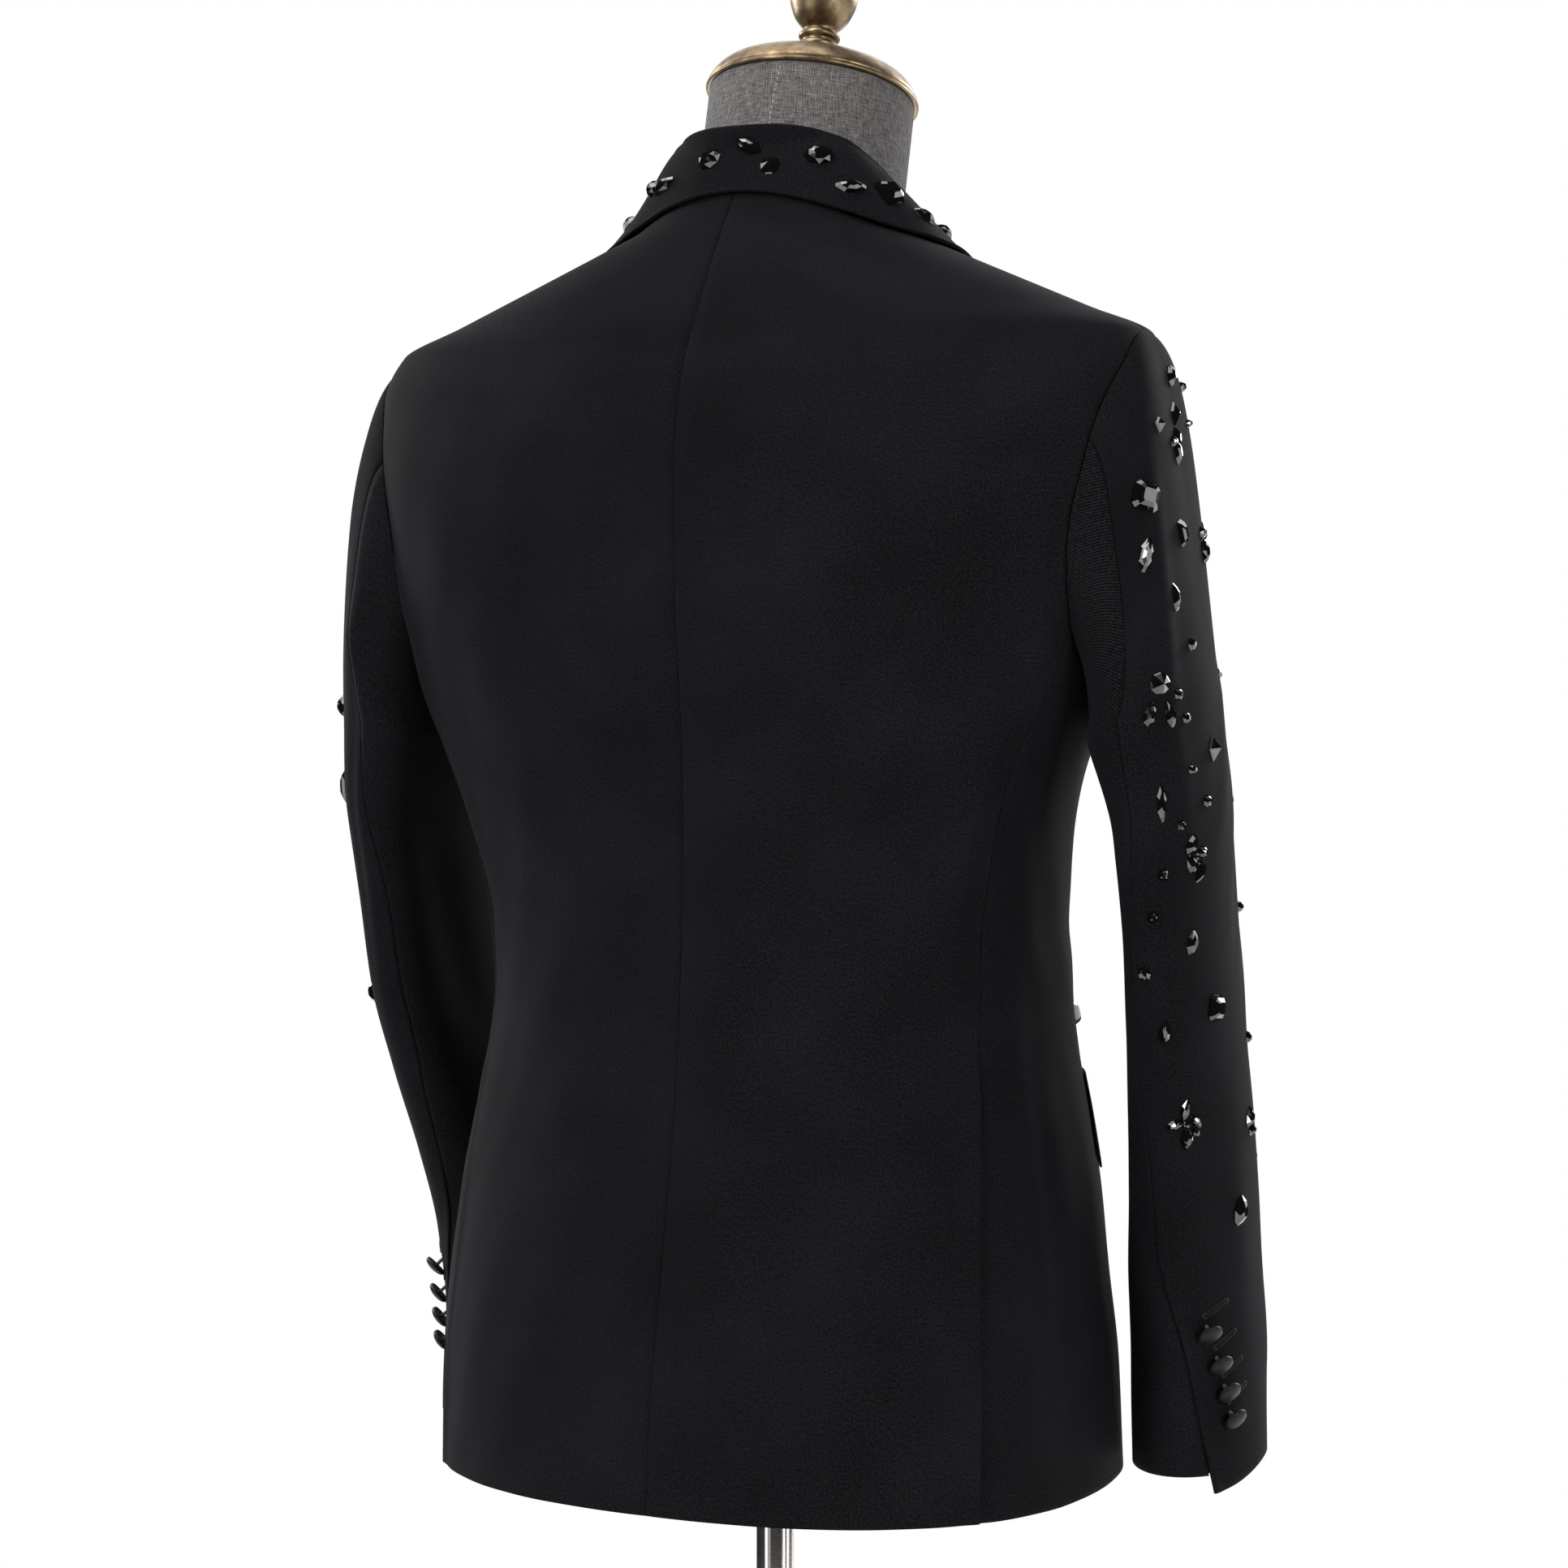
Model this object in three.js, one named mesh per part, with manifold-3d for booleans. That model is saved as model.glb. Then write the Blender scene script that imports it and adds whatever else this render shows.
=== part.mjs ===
// A black double-breasted suit jacket with sewn-on faceted stones, on a limbless dress form.
// Millimetres, +Z up. The front faces -Y, the wearer's left is +X, and the origin is the middle of the
// base's underside. Every piece of the left side is worked out once and mirrored for the right.
import * as THREE from "three";
import { mergeVertices } from "three/addons/utils/BufferGeometryUtils.js";
import Module from "manifold-3d";

const wasm = await Module();
wasm.setup();

// Cloth
const cloth = 2; // wall of cloth, interlining and lining together
const seam = 0.3; // gap between two pieces sewn edge to edge
const layer = 0.9; // air between a piece and the piece that lies on it
const foldOver = cloth + layer; // height of a piece that lies on a panel

// Body
const hem = 721;
const shoulder = 1345; // height of the shoulder tip
const neckPoint = 1409; // height where shoulder seam and neck seam meet
const neckPointX = 75;
const backNeck = 1437; // height of the neck seam at the centre back
const roundness = 2.3; // power of the rings: 2 is an ellipse, more is squarer
const armholeTop = 1344;
const armholeBottom = 1160;
const armholeMiddle = 91; // angle from the centre back
const armholeBackHalf = 29;
const armholeFrontHalf = 31;
const armholeCentre = (armholeTop + armholeBottom) / 2;
const armholeRise = armholeTop - armholeCentre;
const sideSeamTop = 1190; // height where the side seams run into the armhole
const seamRadius = 190; // about how far the panels' seams lie from the axis

// Double-breasted front
const overlap = 75; // each front reaches this far past the centre
const lapLift = 3.4; // the left front lies this far off the right one
const breakHeight = 1040; // where the lapel starts to fold back
const rollCrossing = 1237; // where the two roll lines cross
const gorge = { x: 39, z: 1340 };
const notch = { x: 92, z: 1300 };
const peak = { x: 130, z: 1316 };

// Form
const poleRadius = 11;
const formBottom = 790;
const neckRadius = 58.5;
const neckTilt = THREE.MathUtils.degToRad(14);
const neckTop = { y: -46, z: 1489 };

// Rings of the jacket's outside: height, half width, place of the widest point, back and front.
const bodyRings = [
  { z: 718, half: 191, wide: -4, back: 151, front: -182 },
  { z: 780, half: 190, wide: 0, back: 145, front: -175 },
  { z: 830, half: 186, wide: 3, back: 136, front: -167 },
  { z: 880, half: 181, wide: 0, back: 127, front: -159 },
  { z: 920, half: 175, wide: -1, back: 120, front: -152 },
  { z: 955, half: 169, wide: -2, back: 115, front: -146 },
  { z: 990, half: 166, wide: -3, back: 112, front: -139 },
  { z: 1020, half: 166, wide: 5, back: 111, front: -134 },
  { z: 1050, half: 169, wide: 11, back: 111, front: -131 },
  { z: 1085, half: 176, wide: 24, back: 110, front: -130 },
  { z: 1120, half: 187, wide: 32, back: 110, front: -129 },
  { z: 1160, half: 205, wide: 27, back: 113, front: -130 },
  { z: 1200, half: 218, wide: 25, back: 117, front: -132 },
  { z: 1240, half: 230, wide: 25, back: 118, front: -128 },
  { z: 1280, half: 237, wide: 20, back: 118, front: -120 },
  { z: 1320, half: 236, wide: 17, back: 111, front: -104 },
  { z: 1345, half: 225, wide: 15, back: 100, front: -90 },
  { z: 1360, half: 190, wide: 12, back: 92, front: -80 },
  { z: 1380, half: 143, wide: 9, back: 80, front: -64 },
  { z: 1400, half: 96, wide: 6, back: 67, front: -45 },
  { z: 1409, half: 75, wide: 5, back: 61, front: -35 },
  { z: 1427, half: 58, wide: 0, back: 48, front: -25 },
  { z: 1440, half: 50, wide: -3, back: 41, front: -20 },
];

// Sections of a sleeve below the armhole: centre, half width, half depth, and how much higher its outside
// is.
const sleeveRings = [
  { z: 729, x: 220, y: -91, half: 35, depth: 64, rise: 0 },
  { z: 780, x: 219, y: -91, half: 35, depth: 64, rise: 0 },
  { z: 830, x: 220, y: -82, half: 34, depth: 63, rise: 0 },
  { z: 880, x: 225, y: -66, half: 32, depth: 62, rise: 0 },
  { z: 930, x: 231, y: -47, half: 30, depth: 62, rise: 0 },
  { z: 980, x: 235, y: -29, half: 27, depth: 63, rise: 0 },
  { z: 1030, x: 236, y: -19, half: 26, depth: 64, rise: 0 },
  { z: 1080, x: 236, y: -9, half: 27, depth: 66, rise: 4 },
  { z: 1140, x: 227, y: 1, half: 31.5, depth: 68.5, rise: 12 },
];
const sleeveTurn = THREE.MathUtils.degToRad(6);
const cuff = 729;
const capEnd = 1140; // the sleeve head runs from the armhole to this section

// Seams as angles: the side seams by height, the sleeve's back seam by the way down the sleeve.
const sideBackSeam = [
  { z: 718, angle: 57 }, { z: 793, angle: 57.5 }, { z: 876, angle: 58.5 },
  { z: 959, angle: 62 }, { z: 1040, angle: 65 }, { z: 1190, angle: 70 },
];
const sideFrontSeam = [{ z: 718, angle: 119 }, { z: 1000, angle: 115 }, { z: 1190, angle: 112 }];
const hindSeam = [
  { way: 0, angle: 75 }, { way: 0.6, angle: 82 }, { way: 0.9, angle: 88 }, { way: 1.1, angle: 102 },
  { way: 1.3, angle: 115 }, { way: 1.42, angle: 115 }, { way: 1.55, angle: 106 }, { way: 1.7, angle: 96 },
  { way: 1.82, angle: 78 }, { way: 2, angle: 57 },
];
const foreSeam = -118;
const ventTip = 8; // how far the corner of the cuff's vent hangs below the cuff

// Long soft folds of the sleeve, by angle and way down: each is a low ridge.
const sleeveFolds = [
  { angle: 48, width: 16, start: 0.15, end: 1.25, height: 2.6 },
  { angle: 128, width: 22, start: 0.9, end: 1.75, height: 3.5 },
  { angle: 84, width: 14, start: 0.75, end: 1.45, height: -2.4 },
];

// Stations of the collar from the centre back to the notch. Edge: the leaf's lower edge, as an angle on the
// body or, in front, as x. Roll: where stand and leaf fold. Foot: the neck seam, given like the edge.
const collarStations = [
  { edge: { angle: 0, z: 1425 }, roll: [0, 37, 1462], foot: { angle: 0 } },
  { edge: { angle: 23, z: 1422 }, roll: [29, 33, 1461], foot: { angle: 28 } },
  { edge: { angle: 56, z: 1412 }, roll: [53, 20, 1455], foot: { angle: 55 } },
  { edge: { angle: 73, z: 1403 }, roll: [62, 5, 1446], foot: { angle: 75 } },
  { edge: { angle: 88, z: 1397 }, roll: [66, -14, 1436.5], foot: { angle: 89 } },
  { edge: { x: 108, z: 1384 }, roll: [66, -34, 1422.5], foot: { x: 72.6, z: 1404.5 } },
  { edge: { x: 110, z: 1363 }, roll: [64, -51, 1406], foot: { x: 67, z: 1393.7 } },
  { edge: { x: 108, z: 1342 }, roll: [57, -64, 1383] },
  { edge: { x: 104, z: 1322 }, roll: [49, -81, 1362] },
  { edge: { x: notch.x + 0.5, z: notch.z + 1.8 }, roll: [gorge.x + 0.6, -95, gorge.z + 1.2] },
];
const standStations = collarStations.filter((station) => station.foot);

// Faceted stones: sides of the outline and the share of it that the flat top takes.
const cuts = {
  round: { sides: 8, table: 0.4 },
  square: { sides: 4, table: 0.5 },
  kite: { sides: 4, table: 0.15 },
  navette: { sides: 6, table: 0.35 },
  pear: { sides: 5, table: 0.4 },
};
// Large stones on each sleeve: angle, way down, cut, length, width and turn in degrees.
const sleeveStones = [
  { angle: 0, way: 0.38, cut: "kite", length: 14, width: 9, turn: 20 },
  { angle: 6, way: 0.46, cut: "pear", length: 20, width: 12, turn: 0 },
  { angle: 52, way: 0.47, cut: "square", length: 15, width: 15, turn: 10 },
  { angle: 58, way: 0.605, cut: "navette", length: 18, width: 9, turn: 8 },
  { angle: 18, way: 0.655, cut: "square", length: 15, width: 9, turn: 30 },
  { angle: -20, way: 0.665, cut: "pear", length: 20, width: 10, turn: 0 },
  { angle: 56, way: 0.94, cut: "round", length: 12, width: 12, turn: 0 },
  { angle: 64, way: 1.005, cut: "pear", length: 13, width: 8, turn: 25 },
  { angle: 49, way: 1.01, cut: "pear", length: 13, width: 7, turn: -20 },
  { angle: 10, way: 1.058, cut: "square", length: 14, width: 12, turn: 30 },
  { angle: 68, way: 1.11, cut: "navette", length: 18, width: 6, turn: 0 },
  { angle: 46, way: 1.144, cut: "pear", length: 12, width: 8, turn: -20 },
  { angle: 42, way: 1.192, cut: "pear", length: 15, width: 11, turn: 10 },
  { angle: 50, way: 1.283, cut: "pear", length: 13, width: 8, turn: 0 },
  { angle: 30, way: 1.37, cut: "square", length: 13, width: 13, turn: 5 },
  { angle: 80, way: 1.398, cut: "pear", length: 13, width: 8, turn: 0 },
  { angle: 68, way: 1.523, cut: "pear", length: 20, width: 12, turn: 0 },
  { angle: -2, way: 1.533, cut: "round", length: 12, width: 10, turn: 0 },
  { angle: 22, way: 1.648, cut: "round", length: 17, width: 12, turn: 0 },
];
// The left sleeve has them this much further to the front, in degrees.
const leftStoneTurn = 46;
// Large stones on the collar: along from the centre back as a station, up the leaf, and the rest as above.
const collarStones = [
  { along: -3.1, up: 0.5, cut: "square", length: 15, width: 14, turn: 15 },
  { along: -2.1, up: 0.35, cut: "navette", length: 8, width: 16, turn: 0 },
  { along: -1.5, up: 0.66, cut: "round", length: 11, width: 16, turn: 0 },
  { along: -0.7, up: 0.4, cut: "kite", length: 9, width: 12, turn: 0 },
  { along: -0.22, up: 0.7, cut: "navette", length: 8, width: 16, turn: 35 },
  { along: 0.58, up: 0.55, cut: "round", length: 11, width: 14, turn: 20 },
  { along: 1.65, up: 0.4, cut: "navette", length: 9, width: 16, turn: 30 },
  { along: 3.6, up: 0.4, cut: "round", length: 12, width: 14, turn: 0 },
  { along: -4.1, up: 0.35, cut: "round", length: 12, width: 13, turn: 0 },
];
// Large stones on each lapel, as shares of its width and length.
const lapelStones = [
  { across: 0.5, up: 0.62, cut: "pear", length: 16, width: 10, turn: 10 },
  { across: 0.3, up: 0.8, cut: "round", length: 12, width: 12, turn: 0 },
  { across: 0.62, up: 0.86, cut: "square", length: 13, width: 13, turn: 20 },
];
// The stone in front of each hip, by angle and height.
const hipStone = { angle: 124, z: 972, cut: "square", length: 14, width: 12, turn: 20 };
const stoneHeight = 5;
const stoneSink = 1.3; // how deep a stone's foot sits in the cloth

// Buttons: covered domes on thread shanks.
const frontButton = { radius: 11, dome: 5, shank: 2.4, foot: 3, segments: 12 };
const cuffButton = { radius: 7.2, dome: 4, shank: 4.2, foot: 1.3, segments: 8 };
const frontButtons = [
  { name: "low", x: 60, z: 886 },
  { name: "waist", x: 60, z: 1004 },
  { name: "high", x: 96, z: 1124 },
];
const cuffButtons = [
  { angle: 57, way: 1.8 }, { angle: 50, way: 1.844 }, { angle: 44, way: 1.883 }, { angle: 39, way: 1.92 },
];
const cuffButtonDroop = THREE.MathUtils.degToRad(32);

// Pocket flap
const flap = { top: 942, height: 54, back: 109, front: 150, corner: 9 };

const materials = {
  cloth: new THREE.MeshStandardMaterial({ color: 0x1a1a1c, roughness: 0.9, metalness: 0 }),
  satin: new THREE.MeshStandardMaterial({ color: 0x222225, roughness: 0.4, metalness: 0 }),
  linen: new THREE.MeshStandardMaterial({ color: 0x5f6063, roughness: 0.95, metalness: 0 }),
  brass: new THREE.MeshStandardMaterial({ color: 0x7d6238, roughness: 0.35, metalness: 1 }),
  chrome: new THREE.MeshStandardMaterial({ color: 0xc8c8c8, roughness: 0.12, metalness: 1 }),
};

const radians = THREE.MathUtils.degToRad;
const degrees = THREE.MathUtils.radToDeg;
const mix = THREE.MathUtils.lerp;
const smooth = THREE.MathUtils.smoothstep;
const signedPower = (value, power) => Math.sign(value) * Math.abs(value) ** power;

// Reads a table by its first column with a monotone cubic, so that no curve overshoots its rows.
function reader(rows) {
  const [key, ...columns] = Object.keys(rows[0]);
  const steps = rows.slice(1).map((row, i) => row[key] - rows[i][key]);
  const tangents = columns.map((column) => {
    const slopes = steps.map((step, i) => (rows[i + 1][column] - rows[i][column]) / step);
    return rows.map((_, i) => {
      if (i === 0) return slopes[0];
      if (i === slopes.length) return slopes[i - 1];
      if (slopes[i - 1] * slopes[i] <= 0) return 0;
      const before = 2 * steps[i] + steps[i - 1];
      const after = steps[i] + 2 * steps[i - 1];
      return (before + after) / (before / slopes[i - 1] + after / slopes[i]);
    });
  });
  return (where) => {
    const at = THREE.MathUtils.clamp(where, rows[0][key], rows[rows.length - 1][key]);
    let i = 0;
    while (i < steps.length - 1 && at > rows[i + 1][key]) i += 1;
    const t = (at - rows[i][key]) / steps[i];
    const result = {};
    columns.forEach((column, c) => {
      const ease = 3 * t ** 2 - 2 * t ** 3;
      const rise = mix(rows[i][column], rows[i + 1][column], ease);
      const bend = (t ** 3 - 2 * t ** 2 + t) * tangents[c][i] + (t ** 3 - t ** 2) * tangents[c][i + 1];
      result[column] = rise + bend * steps[i];
    });
    return result;
  };
}

const bodyRing = reader(bodyRings);
const sleeveRing = reader(sleeveRings);
const sideBackAngle = reader(sideBackSeam);
const sideFrontAngle = reader(sideFrontSeam);
const hindAngle = reader(hindSeam);

// A point of the jacket's outside: the angle runs from the centre back over the left side to the front.
function bodyPoint(angle, z) {
  const { half, wide, back, front } = bodyRing(z);
  const sine = Math.sin(radians(angle));
  const cosine = Math.cos(radians(angle));
  const depth = cosine > 0 ? back - wide : wide - front;
  return new THREE.Vector3(
    half * signedPower(sine, 2 / roundness),
    wide + depth * signedPower(cosine, 2 / roundness),
    z,
  );
}

// The angle of the front point, or back point, at a distance x from the centre line.
function frontAngle(x, z) {
  const share = THREE.MathUtils.clamp(Math.abs(x) / bodyRing(z).half, 0, 1);
  return 180 - Math.sign(x) * degrees(Math.asin(share ** (roundness / 2)));
}
const backAngle = (x, z) => 180 - frontAngle(x, z);

// The outward normal of a surface whose first parameter runs clockwise seen from above, its second up.
function normalOf(surface, u, v, step = 0.01, within = (value) => value) {
  const across = surface(within(u + step), v).sub(surface(within(u - step), v));
  const up = surface(u, within(v + step)).sub(surface(u, within(v - step)));
  return up.cross(across).normalize();
}
const withinWall = (value) => THREE.MathUtils.clamp(value, 0, 1);

const bodyNormal = (angle, z) => normalOf((u, v) => bodyPoint(u, v), angle, z, 0.4);

function raisedBody(angle, z, height) {
  return bodyPoint(angle, z).addScaledVector(bodyNormal(angle, z), height);
}

// A closed mesh geometry from points and triangles; a mirrored one is turned the right way out again.
function closedGeometry(points, triangles, mirrored = false) {
  const sign = mirrored ? -1 : 1;
  const geometry = new THREE.BufferGeometry();
  const numbers = points.flatMap((point) => [sign * point.x, point.y, point.z]);
  const faces = mirrored ? triangles.map(([a, b, c]) => [a, c, b]) : triangles;
  geometry.setAttribute("position", new THREE.Float32BufferAttribute(numbers, 3));
  geometry.setIndex(faces.flat());
  return geometry;
}

// A wall of cloth: the surface's grid is its outside, and the same grid moved inwards its inside.
function clothWall(surface, { columns, rows, mirrored = false }) {
  const wide = columns + 1;
  const outer = [];
  const inner = [];
  for (let j = 0; j <= rows; j += 1) {
    for (let i = 0; i < wide; i += 1) {
      const u = i / columns;
      const v = j / rows;
      const point = surface(u, v);
      const outwards = normalOf(surface, u, v, 0.004, withinWall);
      outer.push(point);
      inner.push(point.clone().addScaledVector(outwards, -cloth));
    }
  }
  const count = outer.length;
  const at = (i, j) => j * wide + i;
  const triangles = [];
  for (let j = 0; j < rows; j += 1) {
    for (let i = 0; i < columns; i += 1) {
      const [a, b, c, d] = [at(i, j), at(i + 1, j), at(i + 1, j + 1), at(i, j + 1)];
      triangles.push([a, d, c], [a, c, b]);
      triangles.push([a + count, c + count, d + count], [a + count, b + count, c + count]);
    }
  }
  const rim = [];
  for (let i = 0; i < columns; i += 1) {
    rim.push([at(i, 0), at(i + 1, 0)], [at(i + 1, rows), at(i, rows)]);
  }
  for (let j = 0; j < rows; j += 1) {
    rim.push([at(columns, j), at(columns, j + 1)], [at(0, j + 1), at(0, j)]);
  }
  for (const [a, b] of rim) triangles.push([a, b, b + count], [a, b + count, a + count]);
  return closedGeometry([...outer, ...inner], triangles, mirrored);
}

function solidOf(geometry) {
  const plain = geometry.clone();
  plain.deleteAttribute("normal");
  plain.deleteAttribute("uv");
  const merged = mergeVertices(plain, 1e-4);
  return new wasm.Manifold(
    new wasm.Mesh({
      numProp: 3,
      vertProperties: merged.attributes.position.array,
      triVerts: new Uint32Array(merged.index.array),
    }),
  );
}

function geometryOf(solid) {
  const { vertProperties, triVerts } = solid.getMesh();
  const geometry = new THREE.BufferGeometry();
  geometry.setAttribute("position", new THREE.BufferAttribute(vertProperties, 3));
  geometry.setIndex(new THREE.BufferAttribute(triVerts, 1));
  return geometry;
}

// A matrix that stands a Y-axis shape on a surface: Y along the normal, Z up the cloth.
function standOn(point, normal, turn = 0) {
  const sideways = new THREE.Vector3(0, 0, 1).cross(normal).normalize();
  const upwards = normal.clone().cross(sideways).normalize();
  const matrix = new THREE.Matrix4().makeBasis(sideways.clone().negate(), normal, upwards);
  return matrix.multiply(new THREE.Matrix4().makeRotationY(radians(turn))).setPosition(point);
}

// One faceted stone, its foot sunk in the cloth.
function stoneGeometry({ cut, length, width, turn }, point, normal) {
  const { sides, table } = cuts[cut];
  const geometry = new THREE.CylinderGeometry(table / 2, 0.5, 1, sides);
  geometry.rotateY(cut === "square" ? Math.PI / 4 : 0);
  const growth = cut === "square" ? Math.SQRT2 : 1;
  geometry.scale(width * growth, stoneHeight + stoneSink, length * growth);
  geometry.translate(0, (stoneHeight - stoneSink) / 2, 0);
  return geometry.applyMatrix4(standOn(point, normal, turn));
}

// The point of a wall's own outside that lies under a point of its surface, and the normal there.
function seatOn(wall, point, normal) {
  const mesh = new THREE.Mesh(wall);
  const ray = new THREE.Raycaster(point.clone().addScaledVector(normal, 15), normal.clone().negate());
  const [hit] = ray.intersectObject(mesh);
  return { point: hit.point, normal: hit.face.normal };
}

// The wall with its stones raised on the outside. Each place gives the stone and its point and normal.
function withStones(wall, places) {
  const raised = places.reduce((solid, { stone, point, normal }) => {
    const seat = seatOn(wall, point, normal);
    return solid.add(solidOf(stoneGeometry(stone, seat.point, normal)));
  }, solidOf(wall));
  return geometryOf(raised);
}

const suit = new THREE.Group();

function addPiece(name, geometry, material, parent = suit) {
  geometry.computeVertexNormals();
  const mesh = new THREE.Mesh(geometry, material);
  mesh.name = name;
  parent.add(mesh);
  return mesh;
}

const sides = [{ side: "left", mirrored: false }, { side: "right", mirrored: true }];

// Armhole
function armholeAngle(z, half) {
  const share = THREE.MathUtils.clamp((z - armholeCentre) / armholeRise, -1, 1);
  return half * Math.sqrt(1 - share * share);
}

function armholeFloor(angle) {
  const half = angle < armholeMiddle ? armholeBackHalf : armholeFrontHalf;
  const share = THREE.MathUtils.clamp((angle - armholeMiddle) / half, -1, 1);
  return armholeCentre - armholeRise * Math.sqrt(1 - share * share);
}

const halfSeamAngle = degrees(seam / 2 / seamRadius);
const sideTop = { back: sideBackAngle(sideSeamTop).angle, front: sideFrontAngle(sideSeamTop).angle };
const backCorner = armholeFloor(sideTop.back); // where side seam and armhole meet
const frontCorner = armholeFloor(sideTop.front);

// Heights of the rows of a tall panel, below, beside and above the armhole. Side panels and sleeves share
// them, so that the pieces meet point to point along their seams.
const lowHeights = [hem, 790, 850, 905, 955, 1000, 1045, 1085, 1122, 1155];
const armholeHeights = [1220, 1240, 1262, 1284, 1304, 1320, 1332, 1340, armholeTop];
const shoulderHeights = [shoulder + 1, 1350, 1357, 1367, 1380, 1394, neckPoint];
const backHeights = [...lowHeights, backCorner, ...armholeHeights, ...shoulderHeights];
const frontHeights = [...lowHeights, frontCorner, ...armholeHeights, ...shoulderHeights];

// The value of a list at a share of its length.
function listAt(list, share) {
  const place = THREE.MathUtils.clamp(share, 0, 1) * (list.length - 1);
  const i = Math.min(Math.floor(place), list.length - 2);
  return mix(list[i], list[i + 1], place - i);
}

// The neck seam of the back rises from the neck point to the centre back.
function neckSeam(angle) {
  return neckPoint + (backNeck - neckPoint) * Math.cos(radians(Math.min(angle, 90))) ** 1.5;
}

function backSurface(u, v) {
  const z = listAt(backHeights, v);
  const inner = backAngle(seam / 2, z);
  const atSeam = z < backCorner ? sideBackAngle(z).angle - halfSeamAngle : 0;
  const atArmhole = armholeMiddle - armholeAngle(z, armholeBackHalf) - 2 * halfSeamAngle;
  const outer = z < backCorner ? atSeam : Math.min(z > armholeTop ? 90 - halfSeamAngle : 90, atArmhole);
  const angle = mix(inner, outer, u);
  if (z <= shoulder) return bodyPoint(angle, z);
  const climb = (z - shoulder) / (neckPoint - shoulder);
  return bodyPoint(angle, mix(shoulder, neckSeam(angle) - seam, climb));
}

const sideColumns = 6;
function sideSurface(u, v) {
  const top = armholeFloor(mix(sideTop.back, sideTop.front, u)) - 2 * seam;
  const z = listAt([...lowHeights, top], v);
  const back = sideBackAngle(z).angle + halfSeamAngle;
  const front = sideFrontAngle(z).angle - halfSeamAngle;
  return bodyPoint(mix(back, front, u), z);
}

// The front edge: straight up to the break, then the roll line, then the neck seam.
function frontEdge(z) {
  if (z <= breakHeight) return -overlap;
  if (z <= gorge.z) return mix(-overlap, gorge.x, (z - breakHeight) / (gorge.z - breakHeight));
  return mix(gorge.x, neckPointX, (z - gorge.z) / (neckPoint - gorge.z));
}

// How far the left front stands off where it covers the right one.
function lapHeight(x, z) {
  const past = 1 - smooth(x, overlap + 3, overlap + 33);
  return lapLift * past * (1 - smooth(z, rollCrossing, rollCrossing + 50));
}

function frontSurface(lapped) {
  return (u, v) => {
    const z = Math.min(listAt(frontHeights, v), neckPoint - 4);
    const atSeam = sideFrontAngle(z).angle + halfSeamAngle;
    const atArmhole = armholeMiddle + armholeAngle(z, armholeFrontHalf) + 2 * halfSeamAngle;
    const outer = z < frontCorner ? atSeam : Math.max(z > armholeTop ? 90 + halfSeamAngle : 90, atArmhole);
    const inner = frontAngle(frontEdge(z), z);
    const angle = mix(outer, inner, u);
    const point = bodyPoint(angle, z);
    return lapped ? point.addScaledVector(bodyNormal(angle, z), lapHeight(point.x, z)) : point;
  };
}

function frontPoint(x, z, height, lapped) {
  const lift = lapped ? lapHeight(x, z) : 0;
  return raisedBody(frontAngle(x, z), z, height + lift);
}

// The lapel from its outer edge (u 0) to the roll line (u 1). The hidden foot of the right one is left off.
const lapelWidth = reader([
  { share: 0, width: 6 }, { share: 0.25, width: 38 }, { share: 0.5, width: 72 }, { share: 0.75, width: 94 },
  { share: 1, width: peak.x - frontEdge(peak.z) },
]);
const rightLapelStart = 0.45;
const notchShare = (notch.x - gorge.x) / (peak.x - gorge.x);
const lapelColumns = [
  ...[0, 0.25, 0.5, 0.75].map((part) => part * notchShare),
  ...[0, 1 / 3, 2 / 3, 1].map((part) => mix(notchShare, 1, part)),
];
function lapelSurface(lapped) {
  return (u, v) => {
    const share = lapped ? v : mix(rightLapelStart, 1, v);
    const rollZ = mix(breakHeight, gorge.z, share);
    const cover = lapped ? -Infinity : 1 - frontEdge(rollZ);
    const rollX = Math.max(frontEdge(rollZ) + 0.5, cover);
    const edgeZ = mix(breakHeight, peak.z, share);
    const edgeX = frontEdge(edgeZ) + lapelWidth(share).width;
    const across = listAt(lapelColumns, 1 - u);
    const sag = mix(gorge.z, peak.z, notchShare) - notch.z;
    const dip = sag * Math.min(across / notchShare, (1 - across) / (1 - notchShare)) * share ** 6;
    return frontPoint(mix(rollX, edgeX, across), mix(rollZ, edgeZ, across) - dip, foldOver, lapped);
  };
}

function flapSurface(lapped) {
  return (u, v) => {
    const drop = flap.corner * smooth(Math.abs(u - 0.5), 0.38, 0.5);
    const z = mix(flap.top - flap.height + drop, flap.top, v);
    const angle = mix(flap.back, flap.front, u);
    const lift = lapped ? lapHeight(bodyPoint(angle, z).x, z) : 0;
    return raisedBody(angle, z, foldOver + lift);
  };
}

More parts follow.
